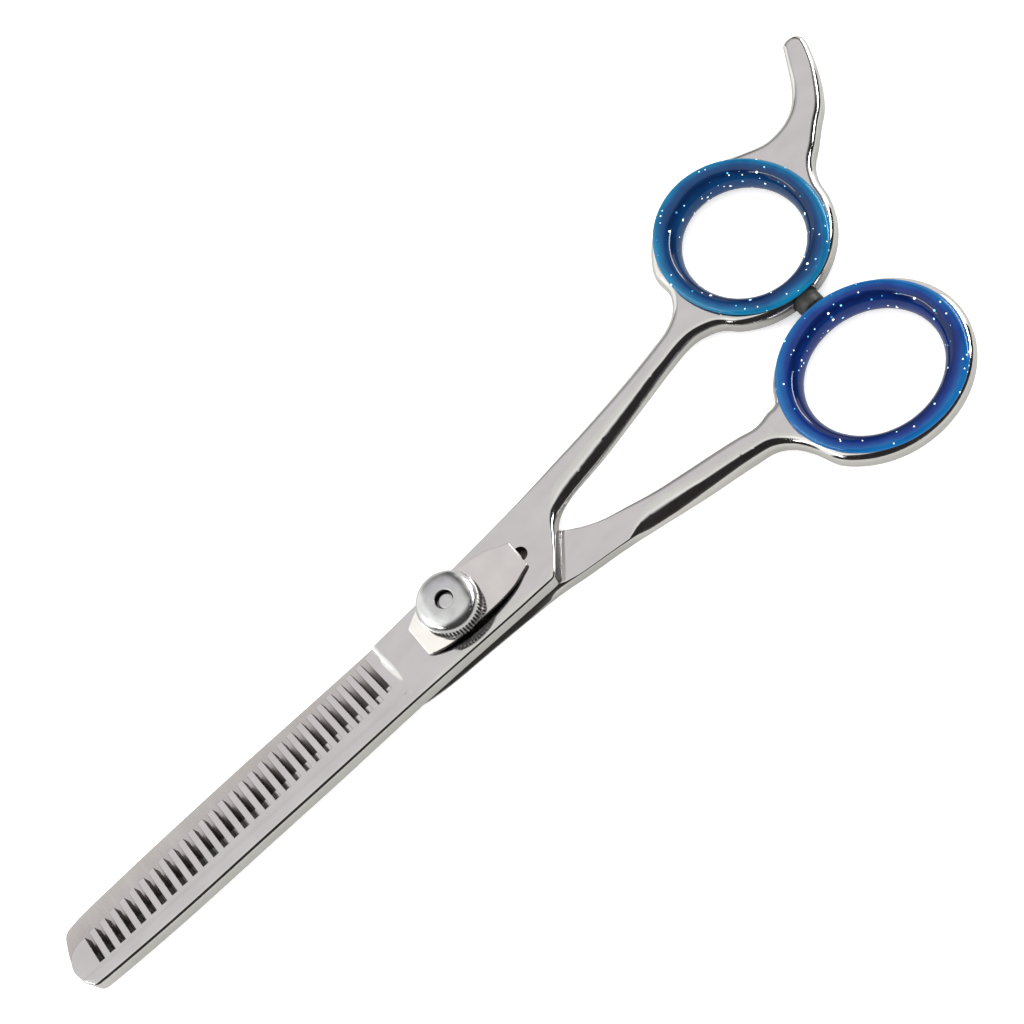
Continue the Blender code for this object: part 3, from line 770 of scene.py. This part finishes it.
def pivot_screw(steel):
    """Flat head with a broken edge, square neck, shaft and a threaded end."""
    low, high = cad_box("pivot_screw")
    head = (high.x - low.x) / 2

    def circle(radius, z):
        return [Vector((x, y, z)) for x, y in circle_points(radius, 96, 0.5)]

    def square(side, z):
        points = []
        for point in circle(1.0, z):
            reach = side / 2 / max(abs(point.x), abs(point.y), 0.72)
            points.append(Vector((point.x * reach, point.y * reach, z)))
        return points

    sections = [
        circle(head - 1.0, 0.08),
        circle(head - 0.9, 0.0),
        circle(head - 0.3, 0.0),
        circle(head - 0.1, 0.06),
        circle(head, 0.2),
        circle(head, 0.75),
        circle(head - 0.08, 0.8),
        square(SCREW_NECK_SIDE, 0.8),
        square(SCREW_NECK_SIDE, 2.9),
        circle(SCREW_SHAFT_RADIUS, 2.95),
        circle(SCREW_SHAFT_RADIUS, THREAD_START_Z - 0.4),
        circle(1.25, THREAD_START_Z - 0.2),
    ]
    z = THREAD_START_Z
    while z < high.z - 0.75:
        sections.append(circle(THREAD_CREST_RADIUS, z))
        sections.append(circle(THREAD_ROOT_RADIUS, z + THREAD_PITCH / 2))
        z += THREAD_PITCH
    sections += [
        circle(1.44, high.z - 0.3),
        circle(1.4, high.z - 0.12),
        circle(1.25, high.z - 0.03),
        circle(0.9, high.z),
        circle(0.4, high.z - 0.05),
    ]
    screw = skin("pivot_screw_body", sections)
    shade(screw, 30.0)
    set_material(screw, steel)
    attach(screw, "plain_side")
    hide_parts("pivot_screw")
    return screw


SPRING_THICKNESS = 0.6
SPRING_HOLE_RADIUS = 2.4
SPRING_PEAK_ROUND = 1.6
SPRING_EDGE = edge(0.1, 0.06)
SPRING_HOLE_EDGE = edge(0.06, 0.06)
SPRING_LINE_STEP = 0.5     # its faces are divided this often, to bend
TAB_WIDTH = 1.7
TAB_DEPTH = 1.3
# x and half width from the plain end to the tab end
SPRING_WIDTHS = (
    (-7.4, 2.7),
    (-5.3, 3.7),
    (-3.0, 4.3),
    (0.0, 4.5),
    (3.0, 4.5),
    (6.0, 4.3),
    (9.4, 3.7),
    (11.4, 2.9),
    (12.8, 2.35),
)


def spring_top(x, low, high, crown, end):
    """Two nearly straight arms with a rounded peak over the pivot."""
    reach = high if x > 0 else -low
    soft = math.hypot(x, SPRING_PEAK_ROUND) - SPRING_PEAK_ROUND
    full = math.hypot(reach, SPRING_PEAK_ROUND) - SPRING_PEAK_ROUND
    return crown + (end - crown) * soft / full


def leaf_spring(steel):
    """Bowed strip with a hole for the screw and a tab bent down at one end."""
    low, high = cad_box("leaf_spring")
    left, right = SPRING_WIDTHS[0][0], SPRING_WIDTHS[-1][0]
    crown = high.z
    end = PLATE_TOP + SPRING_THICKNESS + 0.1
    upper = [(x, half, *SPRING_EDGE) for x, half in reversed(SPRING_WIDTHS)]
    lower = [(x, -half, *SPRING_EDGE) for x, half in SPRING_WIDTHS]

    def top(x, y):
        return spring_top(x, left, right, crown, end)

    def bottom(x, y):
        return top(x, y) - SPRING_THICKNESS

    left_end = [(left, 2.3, *SPRING_EDGE), (left, -2.4, *SPRING_EDGE)]
    right_end = [(right, -2.1, *SPRING_EDGE), (right, 2.1, *SPRING_EDGE)]
    outline = spline([*left_end, *lower, right_end[0]], closed=False)
    outline += spline([right_end[1], *upper], closed=False)
    line_count = int((right - left - SPRING_LINE_STEP) / SPRING_LINE_STEP)
    lines = [left + SPRING_LINE_STEP * (i + 1) for i in range(line_count)]
    hole = [(Vector((x, -y)), list(SPRING_HOLE_EDGE)) for x, y in circle_points(SPRING_HOLE_RADIUS, 96)]
    spring = plate("leaf_spring_body", outline, [hole], top, bottom, lines)
    tab = block(
        "tab",
        (right - 0.6, -TAB_WIDTH / 2, PLATE_TOP - TAB_DEPTH),
        (right + 0.12, TAB_WIDTH / 2, end - 0.06))
    cut(spring, tab, operation="UNION")
    shade(spring)
    set_material(spring, steel)
    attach(spring, "toothed_side")
    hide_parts("leaf_spring")
    return spring


# ---------------------------------------------------------------- soft parts

# Front half of an insert's section: place from the metal's hole (0) to the flange's edge (1), and height
# above the middle
INSERT_PROFILE = (
    (-0.62, 0.0),
    (-0.61, 0.5),
    (-0.57, 1.0),
    (-0.50, 1.5),
    (-0.39, 2.0),
    (-0.22, 2.5),
    (0.0, 2.86),
    (0.28, 3.06),
    (0.56, 3.08),
    (0.80, 2.95),
    (0.95, 2.72),
    (1.0, 2.5),
    (0.98, 2.33),
    (0.93, 2.25),
    (0.5, 2.25),
    (-0.10, 2.25),
    (-0.14, 2.15),
)
BACK_FLANGE = 0.55         # the flange behind is narrower than the one in front


def ring_insert(name, node, body, centre, hole, flange, surface):
    """Moulded grommet.  The point attribute rim runs from 0 at its bore to 1 at its outer edge."""
    steps = 160
    back = [(place if place < 0 else place * BACK_FLANGE, -height) for place, height in INSERT_PROFILE[1:]]
    path = spline([*INSERT_PROFILE, *reversed(back)])
    sections = []
    rims = []
    for step in range(steps):
        degrees = 360.0 * step / steps
        section = []
        for place, _ in path:
            axes = [inner + (outer - inner) * place.x for inner, outer in zip(hole[:2], flange[:2])]
            tilt = hole[2] + (flange[2] - hole[2]) * max(0.0, place.x)
            point = ellipse_point(centre, (*axes, tilt), degrees)
            section.append(Vector((point.x, point.y, PARTING_Z + place.y)))
            rims.append((place.x + 0.6) / 1.6)
        sections.append(section)
    insert = skin(name, sections, closed=True)
    rim = insert.data.attributes.new("rim", "FLOAT", "POINT")
    rim.data.foreach_set("value", rims)
    shade(insert, 60.0, weighted=False)
    set_material(insert, surface)
    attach(insert, body)
    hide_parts(node)
    return insert


BUMPER_SHOULDER_Y = 1.9
BUMPER_STEM_RADIUS = 0.9


def bumper(rubber):
    """Moulded stop with a rounded face and a raised mould line."""
    low, high = cad_box("bumper")
    x = (low.x + high.x) / 2
    radius = (high.x - low.x) / 2
    shoulder = BUMPER_SHOULDER_Y - low.y
    length = high.y - low.y
    profile = (
        (0.25, 0.03),
        (radius - 0.75, 0.0),
        (radius - 0.35, 0.06),
        (radius - 0.1, 0.25),
        (radius - 0.02, 0.5),
        (radius - 0.02, 1.2),
        (radius, 1.26),
        (radius, 1.38),
        (radius - 0.02, 1.44),
        (radius - 0.02, 2.5),
        (radius - 0.15, shoulder),
        (BUMPER_STEM_RADIUS, shoulder),
        (BUMPER_STEM_RADIUS, length - 0.1),
        (BUMPER_STEM_RADIUS - 0.15, length),
    )
    sections = []
    for r, y in profile:
        sections.append([Vector((x + u, low.y + y, PARTING_Z + v)) for u, v in circle_points(r, 64)])
    stop = skin("bumper_body", sections)
    shade(stop, 40.0, weighted=False)
    set_material(stop, rubber)
    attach(stop, "toothed_side")
    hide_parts("bumper")
    return stop


# ---------------------------------------------------------------- materials

TEETH_LINE_SLOPE = 0.065        # the teeth's tips lie on a line that rises towards +X by this
TEETH_SHADE_FULL = 2.0           # the painted shade of the teeth on the hollow grind is darkest below this parallel, measured at the pivot
TEETH_SHADE_GONE = 6.2          # and lightest, without painted shade, above this one
TEETH_SHADE_TIP_X = (-77.2, -75.6)             # nor is the painted shade dark beyond the first slot


class Nodes:
    """Short calls that add nodes to a tree."""

    def __init__(self, tree):
        self.tree = tree

    def node(self, kind, **settings):
        made = self.tree.nodes.new(kind)
        for key, value in settings.items():
            setattr(made, key, value)
        return made

    def link(self, source, target):
        self.tree.links.new(source, target)

    def put(self, value, socket):
        """A number or a tone is set on the socket; anything else is linked to it."""
        if isinstance(value, (int, float)):
            socket.default_value = value
        elif isinstance(value, tuple):
            socket.default_value = (*value, 1.0)
        else:
            self.link(value, socket)

    def ramp_outputs(self, source, stops):
        ramp = self.node("ShaderNodeValToRGB")
        elements = ramp.color_ramp.elements
        while len(elements) < len(stops):
            elements.new(0.5)
        for element, (position, color) in zip(elements, stops):
            element.position = position
            element.color = (*color, 1.0) if len(color) == 3 else color
        self.link(source, ramp.inputs["Fac"])
        return ramp.outputs

    def ramp(self, source, stops):
        return self.ramp_outputs(source, stops)["Color"]

    def remap(self, source, low, high, to_low=0.0, to_high=1.0):
        made = self.node("ShaderNodeMapRange")
        made.inputs["From Min"].default_value = low
        made.inputs["From Max"].default_value = high
        made.inputs["To Min"].default_value = to_low
        made.inputs["To Max"].default_value = to_high
        self.link(source, made.inputs["Value"])
        return made.outputs["Result"]

    def math(self, operation, first, second):
        made = self.node("ShaderNodeMath", operation=operation)
        self.put(first, made.inputs[0])
        self.put(second, made.inputs[1])
        return made.outputs["Value"]

    def mix(self, factor, first, second):
        made = self.node("ShaderNodeMix", data_type="RGBA")
        self.put(factor, made.inputs[0])
        self.put(first, made.inputs[6])
        self.put(second, made.inputs[7])
        return made.outputs[2]


class Surface(Nodes):
    """A Principled material."""

    def __init__(self, name, **values):
        self.material = bpy.data.materials.new(name)
        self.material.use_nodes = True
        super().__init__(self.material.node_tree)
        self.shader = self.tree.nodes["Principled BSDF"]
        for socket, value in values.items():
            self.shader.inputs[socket.replace("_", " ")].default_value = value
        self.place = self.node("ShaderNodeTexCoord").outputs["Object"]

    def feed(self, source, socket):
        self.link(source, self.shader.inputs[socket])

    def noise(self, scale, detail=3.0, stretch=(1, 1, 1)):
        mapping = self.node("ShaderNodeMapping")
        mapping.inputs["Scale"].default_value = stretch
        self.link(self.place, mapping.inputs["Vector"])
        noise = self.node("ShaderNodeTexNoise")
        noise.inputs["Scale"].default_value = scale
        noise.inputs["Detail"].default_value = detail
        self.link(mapping.outputs["Vector"], noise.inputs["Vector"])
        return noise.outputs["Fac"]

    def bump(self, height, strength, distance):
        made = self.node("ShaderNodeBump")
        made.inputs["Strength"].default_value = strength
        made.inputs["Distance"].default_value = distance
        self.link(height, made.inputs["Height"])
        return made.outputs["Normal"]


def polished_steel():
    """Mirror polish with soft mottling and faint lengthwise grinding lines."""
    steel = Surface("polished_steel_looks", Metallic=1.0)
    mottle = steel.noise(180, 3.0, (1, 1.6, 1))
    grind = steel.noise(1400, 2.0, (0.06, 1.4, 1.4))
    colour = steel.ramp(mottle, [(0.25, (0.50, 0.485, 0.483)), (0.75, (0.55, 0.533, 0.531))])
    steel.feed(colour, "Base Color")
    clouded = steel.remap(mottle, 0.3, 0.7, 0.07, 0.11)
    steel.feed(steel.math("ADD", clouded, steel.remap(grind, 0.3, 0.7, 0.0, 0.03)), "Roughness")
    steel.feed(steel.bump(grind, 0.05, 0.00002), "Normal")
    return steel.material


def ground_steel_painted_shade():
    """Hollow grind of the plain blade: satin across the blade, with painted shade of the teeth that is
    darkest towards its cutting edge.
    """
    steel = Surface("ground_steel_looks", Metallic=1.0)
    cloud = steel.noise(110, 4.0, (1, 0.7, 1))
    grind = steel.noise(1500, 2.0, (1.6, 0.05, 1.0))
    across = steel.node("ShaderNodeSeparateXYZ")
    steel.link(steel.place, across.inputs["Vector"])
    x, y = across.outputs["X"], across.outputs["Y"]
    above = steel.math("SUBTRACT", y, steel.math("MULTIPLY", x, TEETH_LINE_SLOPE))
    fade = steel.remap(above, TEETH_SHADE_FULL * MM, TEETH_SHADE_GONE * MM, 0.0, 1.0)
    fade = steel.math("ADD", fade, steel.remap(x, TEETH_SHADE_TIP_X[0] * MM, TEETH_SHADE_TIP_X[1] * MM, 0.9, 0.0))
    fade = steel.math("MINIMUM", fade, 0.95)
    fade = steel.math("ADD", fade, steel.remap(cloud, 0.3, 0.7, -0.14, 0.1))
    # Painted shade of the teeth: near-black towards the cutting edge, up to the steel's own tone away from
    # it.
    colour = steel.ramp(fade, [
        (0.0, (0.10, 0.09, 0.088)),
        (0.4, (0.17, 0.155, 0.15)),
        (0.8, (0.37, 0.34, 0.34)),
        (1.0, (0.44, 0.415, 0.415)),
    ])
    steel.feed(colour, "Base Color")
    steel.feed(steel.remap(grind, 0.3, 0.7, 0.2, 0.3), "Roughness")
    steel.feed(steel.bump(grind, 0.07, 0.00002), "Normal")
    return steel.material


def milled_steel_painted_shade():
    """Unpolished, with a near-black painted shade for the insides of the slots and holes."""
    steel = Surface("milled_steel_looks", Metallic=1.0)
    cloud = steel.noise(900, 3.0)
    marks = steel.noise(2500, 2.0, (1, 1, 0.1))
    # Painted shade: near-black tones that stand in for the shade inside the slots and holes.
    colour = steel.ramp(cloud, [(0.3, (0.06, 0.052, 0.05)), (0.7, (0.12, 0.11, 0.10))])
    steel.feed(colour, "Base Color")
    steel.feed(steel.remap(marks, 0.3, 0.7, 0.35, 0.55), "Roughness")
    steel.feed(steel.bump(marks, 0.3, 0.00003), "Normal")
    return steel.material


def spring_steel():
    """Rolled strip, brushed along its length."""
    steel = Surface("spring_steel_looks", Metallic=1.0)
    mottle = steel.noise(260, 3.0)
    brush = steel.noise(1800, 2.0, (0.08, 1.2, 1.0))
    colour = steel.ramp(mottle, [(0.3, (0.56, 0.53, 0.525)), (0.7, (0.61, 0.58, 0.57))])
    steel.feed(colour, "Base Color")
    steel.feed(steel.remap(brush, 0.3, 0.7, 0.09, 0.16), "Roughness")
    steel.feed(steel.bump(brush, 0.06, 0.00002), "Normal")
    return steel.material


def nut_steel():
    """Turned and lightly tumbled: satin with small dents, and painted shade: near-black where the nut's
    point attribute is 1.
    """
    steel = Surface("nut_steel_looks", Metallic=1.0)
    cloud = steel.noise(420, 4.0)
    dents = steel.noise(900, 2.0)
    colour = steel.ramp(cloud, [(0.3, (0.44, 0.44, 0.45)), (0.7, (0.54, 0.54, 0.55))])
    # Painted shade: near-black where the nut's point attribute is 1.
    shaded = steel.node("ShaderNodeAttribute", attribute_name="painted_shade").outputs["Fac"]
    steel.feed(steel.mix(shaded, colour, (0.05, 0.046, 0.042)), "Base Color")
    steel.feed(steel.remap(cloud, 0.3, 0.7, 0.18, 0.27), "Roughness")
    steel.feed(steel.bump(dents, 0.12, 0.00005), "Normal")
    return steel.material


# Tones of an insert: painted shade on the slope into its bore, its body, and its thin outer edge
TEAL = ((0.002, 0.011, 0.045), (0.002, 0.035, 0.115), (0.004, 0.12, 0.24))
ROYAL = ((0.002, 0.007, 0.045), (0.002, 0.02, 0.13), (0.004, 0.085, 0.24))
FLAKES_PER_METRE = 1300
FLAKE_REACH = (0.12, 0.3)  # smallest and largest, in cells of the flakes' grid
FLAKE_RARITY = 0.74        # share of the cells without a flake


def glitter_vinyl(name, bore_shade, body, rim_tone):
    """Clear blue vinyl with silver and cyan flakes that glow as painted glints, and painted shade on the
    slope into its bore; thinner and lighter towards its outer edge.
    """
    vinyl = Surface(name, Roughness=0.06, IOR=1.45, Specular_IOR_Level=0.3)
    rim = vinyl.node("ShaderNodeAttribute", attribute_name="rim").outputs["Fac"]
    cloud = vinyl.noise(160, 3.0)
    wander = vinyl.math("ADD", rim, vinyl.remap(cloud, 0.3, 0.7, -0.1, 0.1))
    # Painted shade: a darker ring on the slope into the bore.
    tone = vinyl.ramp(wander, [(0.0, body), (0.3, bore_shade), (0.62, body), (0.95, rim_tone)])

    voronoi = vinyl.node("ShaderNodeTexVoronoi")
    voronoi.inputs["Scale"].default_value = FLAKES_PER_METRE
    vinyl.link(vinyl.place, voronoi.inputs["Vector"])
    pick = vinyl.node("ShaderNodeSeparateColor")
    vinyl.link(voronoi.outputs["Color"], pick.inputs["Color"])
    reach = vinyl.remap(pick.outputs["Blue"], 0.0, 1.0, *FLAKE_REACH)
    close = vinyl.math("LESS_THAN", voronoi.outputs["Distance"], reach)
    chosen = vinyl.math("GREATER_THAN", pick.outputs["Red"], FLAKE_RARITY)
    flake = vinyl.math("MULTIPLY", close, chosen)
    flake_tone = vinyl.ramp(pick.outputs["Green"], [
        (0.0, (0.01, 0.05, 0.12)),
        (0.18, (0.1, 0.5, 0.8)),
        (0.45, (0.55, 0.85, 1.0)),
        (0.7, (1.0, 1.0, 1.0)),
    ])
    colour = vinyl.mix(flake, tone, flake_tone)
    vinyl.feed(colour, "Base Color")
    # Painted glints: the flakes give off light of their own.
    painted_glint = vinyl.mix(flake, (0.0, 0.0, 0.0), flake_tone)
    vinyl.feed(painted_glint, "Emission Color")
    vinyl.shader.inputs["Emission Strength"].default_value = 0.3
    vinyl.feed(vinyl.bump(cloud, 0.1, 0.0001), "Normal")
    return vinyl.material


def black_rubber():
    """Matt rubber with a fine grain."""
    rubber = Surface("black_rubber_looks")
    cloud = rubber.noise(700, 4.0)
    grain = rubber.noise(5000, 2.0)
    colour = rubber.ramp(cloud, [(0.3, (0.008, 0.008, 0.007)), (0.75, (0.024, 0.023, 0.022))])
    rubber.feed(colour, "Base Color")
    rubber.feed(rubber.remap(cloud, 0.3, 0.7, 0.45, 0.65), "Roughness")
    rubber.feed(rubber.bump(grain, 0.3, 0.00004), "Normal")
    return rubber.material


# ---------------------------------------------------------------- studio

CAMERA_TILT = 25.4445      # degrees from straight down
CAMERA_ROLL = 41.6185
CAMERA_DISTANCE = 417.15
CAMERA_TARGET = (16.3336, 7.6164, 3.3)
FOCAL_PIXELS = 2700
FRAME_PIXELS = 1024
SENSOR = 36.0

# Studio seen in reflections: angle in degrees from straight up, towards -Y or +Y, and its tone
STUDIO_BANDS = (
    (-180.0, (0.82, 0.83, 0.77)),
    (-100.0, (0.82, 0.83, 0.77)),
    (-90.0, (0.12, 0.12, 0.12)),
    (-70.0, (0.03, 0.024, 0.024)),
    (-18.0, (0.03, 0.026, 0.026)),
    (-14.0, (0.5, 0.5, 0.5)),
    (-7.0, (1.45, 1.45, 1.42)),
    (6.0, (1.15, 1.15, 1.12)),
    (15.0, (1.12, 1.15, 1.06)),
    (20.0, (1.1, 1.1, 1.06)),
    (22.5, (1.05, 1.03, 1.04)),
    (34.0, (1.05, 1.03, 1.04)),
    (40.0, (0.85, 0.83, 0.84)),
    (56.0, (0.72, 0.71, 0.71)),
    (64.0, (0.35, 0.34, 0.34)),
    (72.0, (0.35, 0.34, 0.34)),
    (82.0, (0.82, 0.83, 0.77)),
    (180.0, (0.82, 0.83, 0.77)),
)
# Panels that cover the bands sideways, each over the ones before it.  A panel fades in between
# two angles, and has stops of the sine of the angle towards +X, its tone and how much it covers
LEFT_PANEL = (1.65, 1.68, 1.6)
RIGHT_SHADE = (0.03, 0.028, 0.028)
RIGHT_DUSK = (0.12, 0.12, 0.12)
RIGHT_PANEL = (1.25, 1.2, 1.14)
RIGHT_GLOW = (2.2, 2.2, 2.2)
STUDIO_SIDES = (
    ((-15.0, -7.0), ((-0.36, LEFT_PANEL, 1.0), (-0.27, LEFT_PANEL, 0.0))),
    ((-60.0, -50.0), ((0.36, RIGHT_SHADE, 0.0), (0.46, RIGHT_SHADE, 1.0))),
    ((6.0, 14.0), (
        (0.27, RIGHT_DUSK, 0.0),
        (0.36, RIGHT_DUSK, 0.85),
        (0.50, RIGHT_DUSK, 0.85),
        (0.62, RIGHT_PANEL, 1.0),
        (0.88, RIGHT_PANEL, 1.0),
        (0.93, RIGHT_GLOW, 1.0),
    )),
)
# Narrow lamps, seen as streaks: sine towards +X, and brightness
STUDIO_LAMPS = (
    (-0.81, 0.0),
    (-0.80, 20.0),
    (-0.76, 20.0),
    (-0.75, 0.0),
    (0.77, 0.0),
    (0.78, 28.0),
    (0.84, 28.0),
    (0.85, 0.0),
)
LAMPS_START = (-30.0, -26.0)             # the lamps fade in and out between these angles
LAMPS_END = (44.0, 48.0)
ROOM_LIGHT = (1.9, 1.9, 1.88)
FLOOR_HALF_SIDE = 3000
PAPER = 0.90
PAPER_GLOW = 0.35          # the paper lies on a light table
PAPER_IN_MIRROR = (0.58, 0.58, 0.55)     # the paper's own shade as the steel reflects it


def camera():
    """Long lens from above, tilted and rolled so that the tip points down to the left."""
    tilt = math.radians(CAMERA_TILT)
    roll = math.radians(CAMERA_ROLL)
    level = Vector((1, 0, 0))
    rise = Vector((0, math.cos(tilt), math.sin(tilt)))
    back = Vector((0, -math.sin(tilt), math.cos(tilt)))
    right = level * math.cos(roll) - rise * math.sin(roll)
    up = level * math.sin(roll) + rise * math.cos(roll)
    lens = bpy.data.cameras.new("camera")
    lens.sensor_width = SENSOR
    lens.lens = SENSOR * FOCAL_PIXELS / FRAME_PIXELS
    lens.clip_start = 0.01
    lens.clip_end = 20.0
    made = bpy.data.objects.new("camera", lens)
    bpy.context.scene.collection.objects.link(made)
    place = Matrix((right, up, back)).transposed().to_4x4()
    place.translation = (Vector(CAMERA_TARGET) + back * CAMERA_DISTANCE) * MM
    made.matrix_world = place
    bpy.context.scene.camera = made


def room():
    """Even white light for matt surfaces, and a studio of panels for reflections."""
    world = bpy.data.worlds.new("studio")
    bpy.context.scene.world = world
    world.use_nodes = True
    sky = Nodes(world.node_tree)
    direction = sky.node("ShaderNodeSeparateXYZ")
    sky.link(sky.node("ShaderNodeTexCoord").outputs["Generated"], direction.inputs[0])
    tilt = sky.math("ARCTAN2", direction.outputs["Y"], direction.outputs["Z"])
    turn = sky.math("ADD", sky.math("DIVIDE", tilt, 2 * math.pi), 0.5)
    across = sky.math("ADD", sky.math("MULTIPLY", direction.outputs["X"], 0.5), 0.5)

    def between(low, high):
        return sky.remap(tilt, math.radians(low), math.radians(high))

    studio = sky.ramp(turn, [(angle / 360 + 0.5, tone) for angle, tone in STUDIO_BANDS])
    for start, stops in STUDIO_SIDES:
        panel = sky.ramp_outputs(across, [(sine / 2 + 0.5, (*tone, cover)) for sine, tone, cover in stops])
        cover = sky.math("MULTIPLY", panel["Alpha"], between(*start))
        studio = sky.mix(cover, studio, panel["Color"])
    lamps = sky.ramp_outputs(across, [(sine / 2 + 0.5, (bright,) * 4) for sine, bright in STUDIO_LAMPS])
    lit = sky.math("MULTIPLY", between(*LAMPS_START), between(*reversed(LAMPS_END)))
    lit = sky.math("MULTIPLY", lit, sky.math("MINIMUM", lamps["Alpha"], 1.0))
    studio = sky.mix(lit, studio, lamps["Color"])
    mirror = sky.node("ShaderNodeLightPath").outputs["Is Glossy Ray"]
    sky.link(sky.mix(mirror, ROOM_LIGHT, studio), sky.tree.nodes["Background"].inputs["Color"])


def floor():
    """White paper under the shears."""
    bm = bmesh.new()
    bmesh.ops.create_grid(bm, x_segments=1, y_segments=1, size=FLOOR_HALF_SIDE)
    ground = new_object("floor", bm)
    paper = Surface("white_paper", Roughness=0.9)
    fibre = paper.ramp(paper.noise(60, 4.0), [(0.3, (PAPER,) * 3), (0.7, (PAPER + 0.01,) * 3)])
    mirror = paper.node("ShaderNodeLightPath").outputs["Is Glossy Ray"]
    paper.feed(paper.mix(mirror, fibre, PAPER_IN_MIRROR), "Base Color")
    paper.feed(paper.mix(mirror, (PAPER_GLOW,) * 3, (0.0, 0.0, 0.0)), "Emission Color")
    paper.shader.inputs["Emission Strength"].default_value = 1.0
    set_material(ground, paper.material)


def build():
    steel = polished_steel()
    ground = ground_steel_painted_shade()
    milled_painted_shade = milled_steel_painted_shade()
    tumbled_steel_painted_shade = nut_steel()
    toothed_half(steel, milled_painted_shade)
    plain_half(steel, ground, milled_painted_shade)
    tension_nut(tumbled_steel_painted_shade)
    pivot_screw(tumbled_steel_painted_shade)
    leaf_spring(spring_steel())
    ring_insert(
        "finger_ring_insert_body", "finger_ring_insert", "toothed_side",
        FINGER_CENTRE, FINGER_INNER, FINGER_FLANGE,
        glitter_vinyl("teal_blue_vinyl_looks", *TEAL))
    ring_insert(
        "thumb_ring_insert_body", "thumb_ring_insert", "plain_side",
        THUMB_CENTRE, THUMB_INNER, THUMB_FLANGE,
        glitter_vinyl("royal_blue_vinyl_looks", *ROYAL))
    bumper(black_rubber())


build()
camera()
room()
floor()
bpy.context.scene.view_settings.view_transform = "Standard"
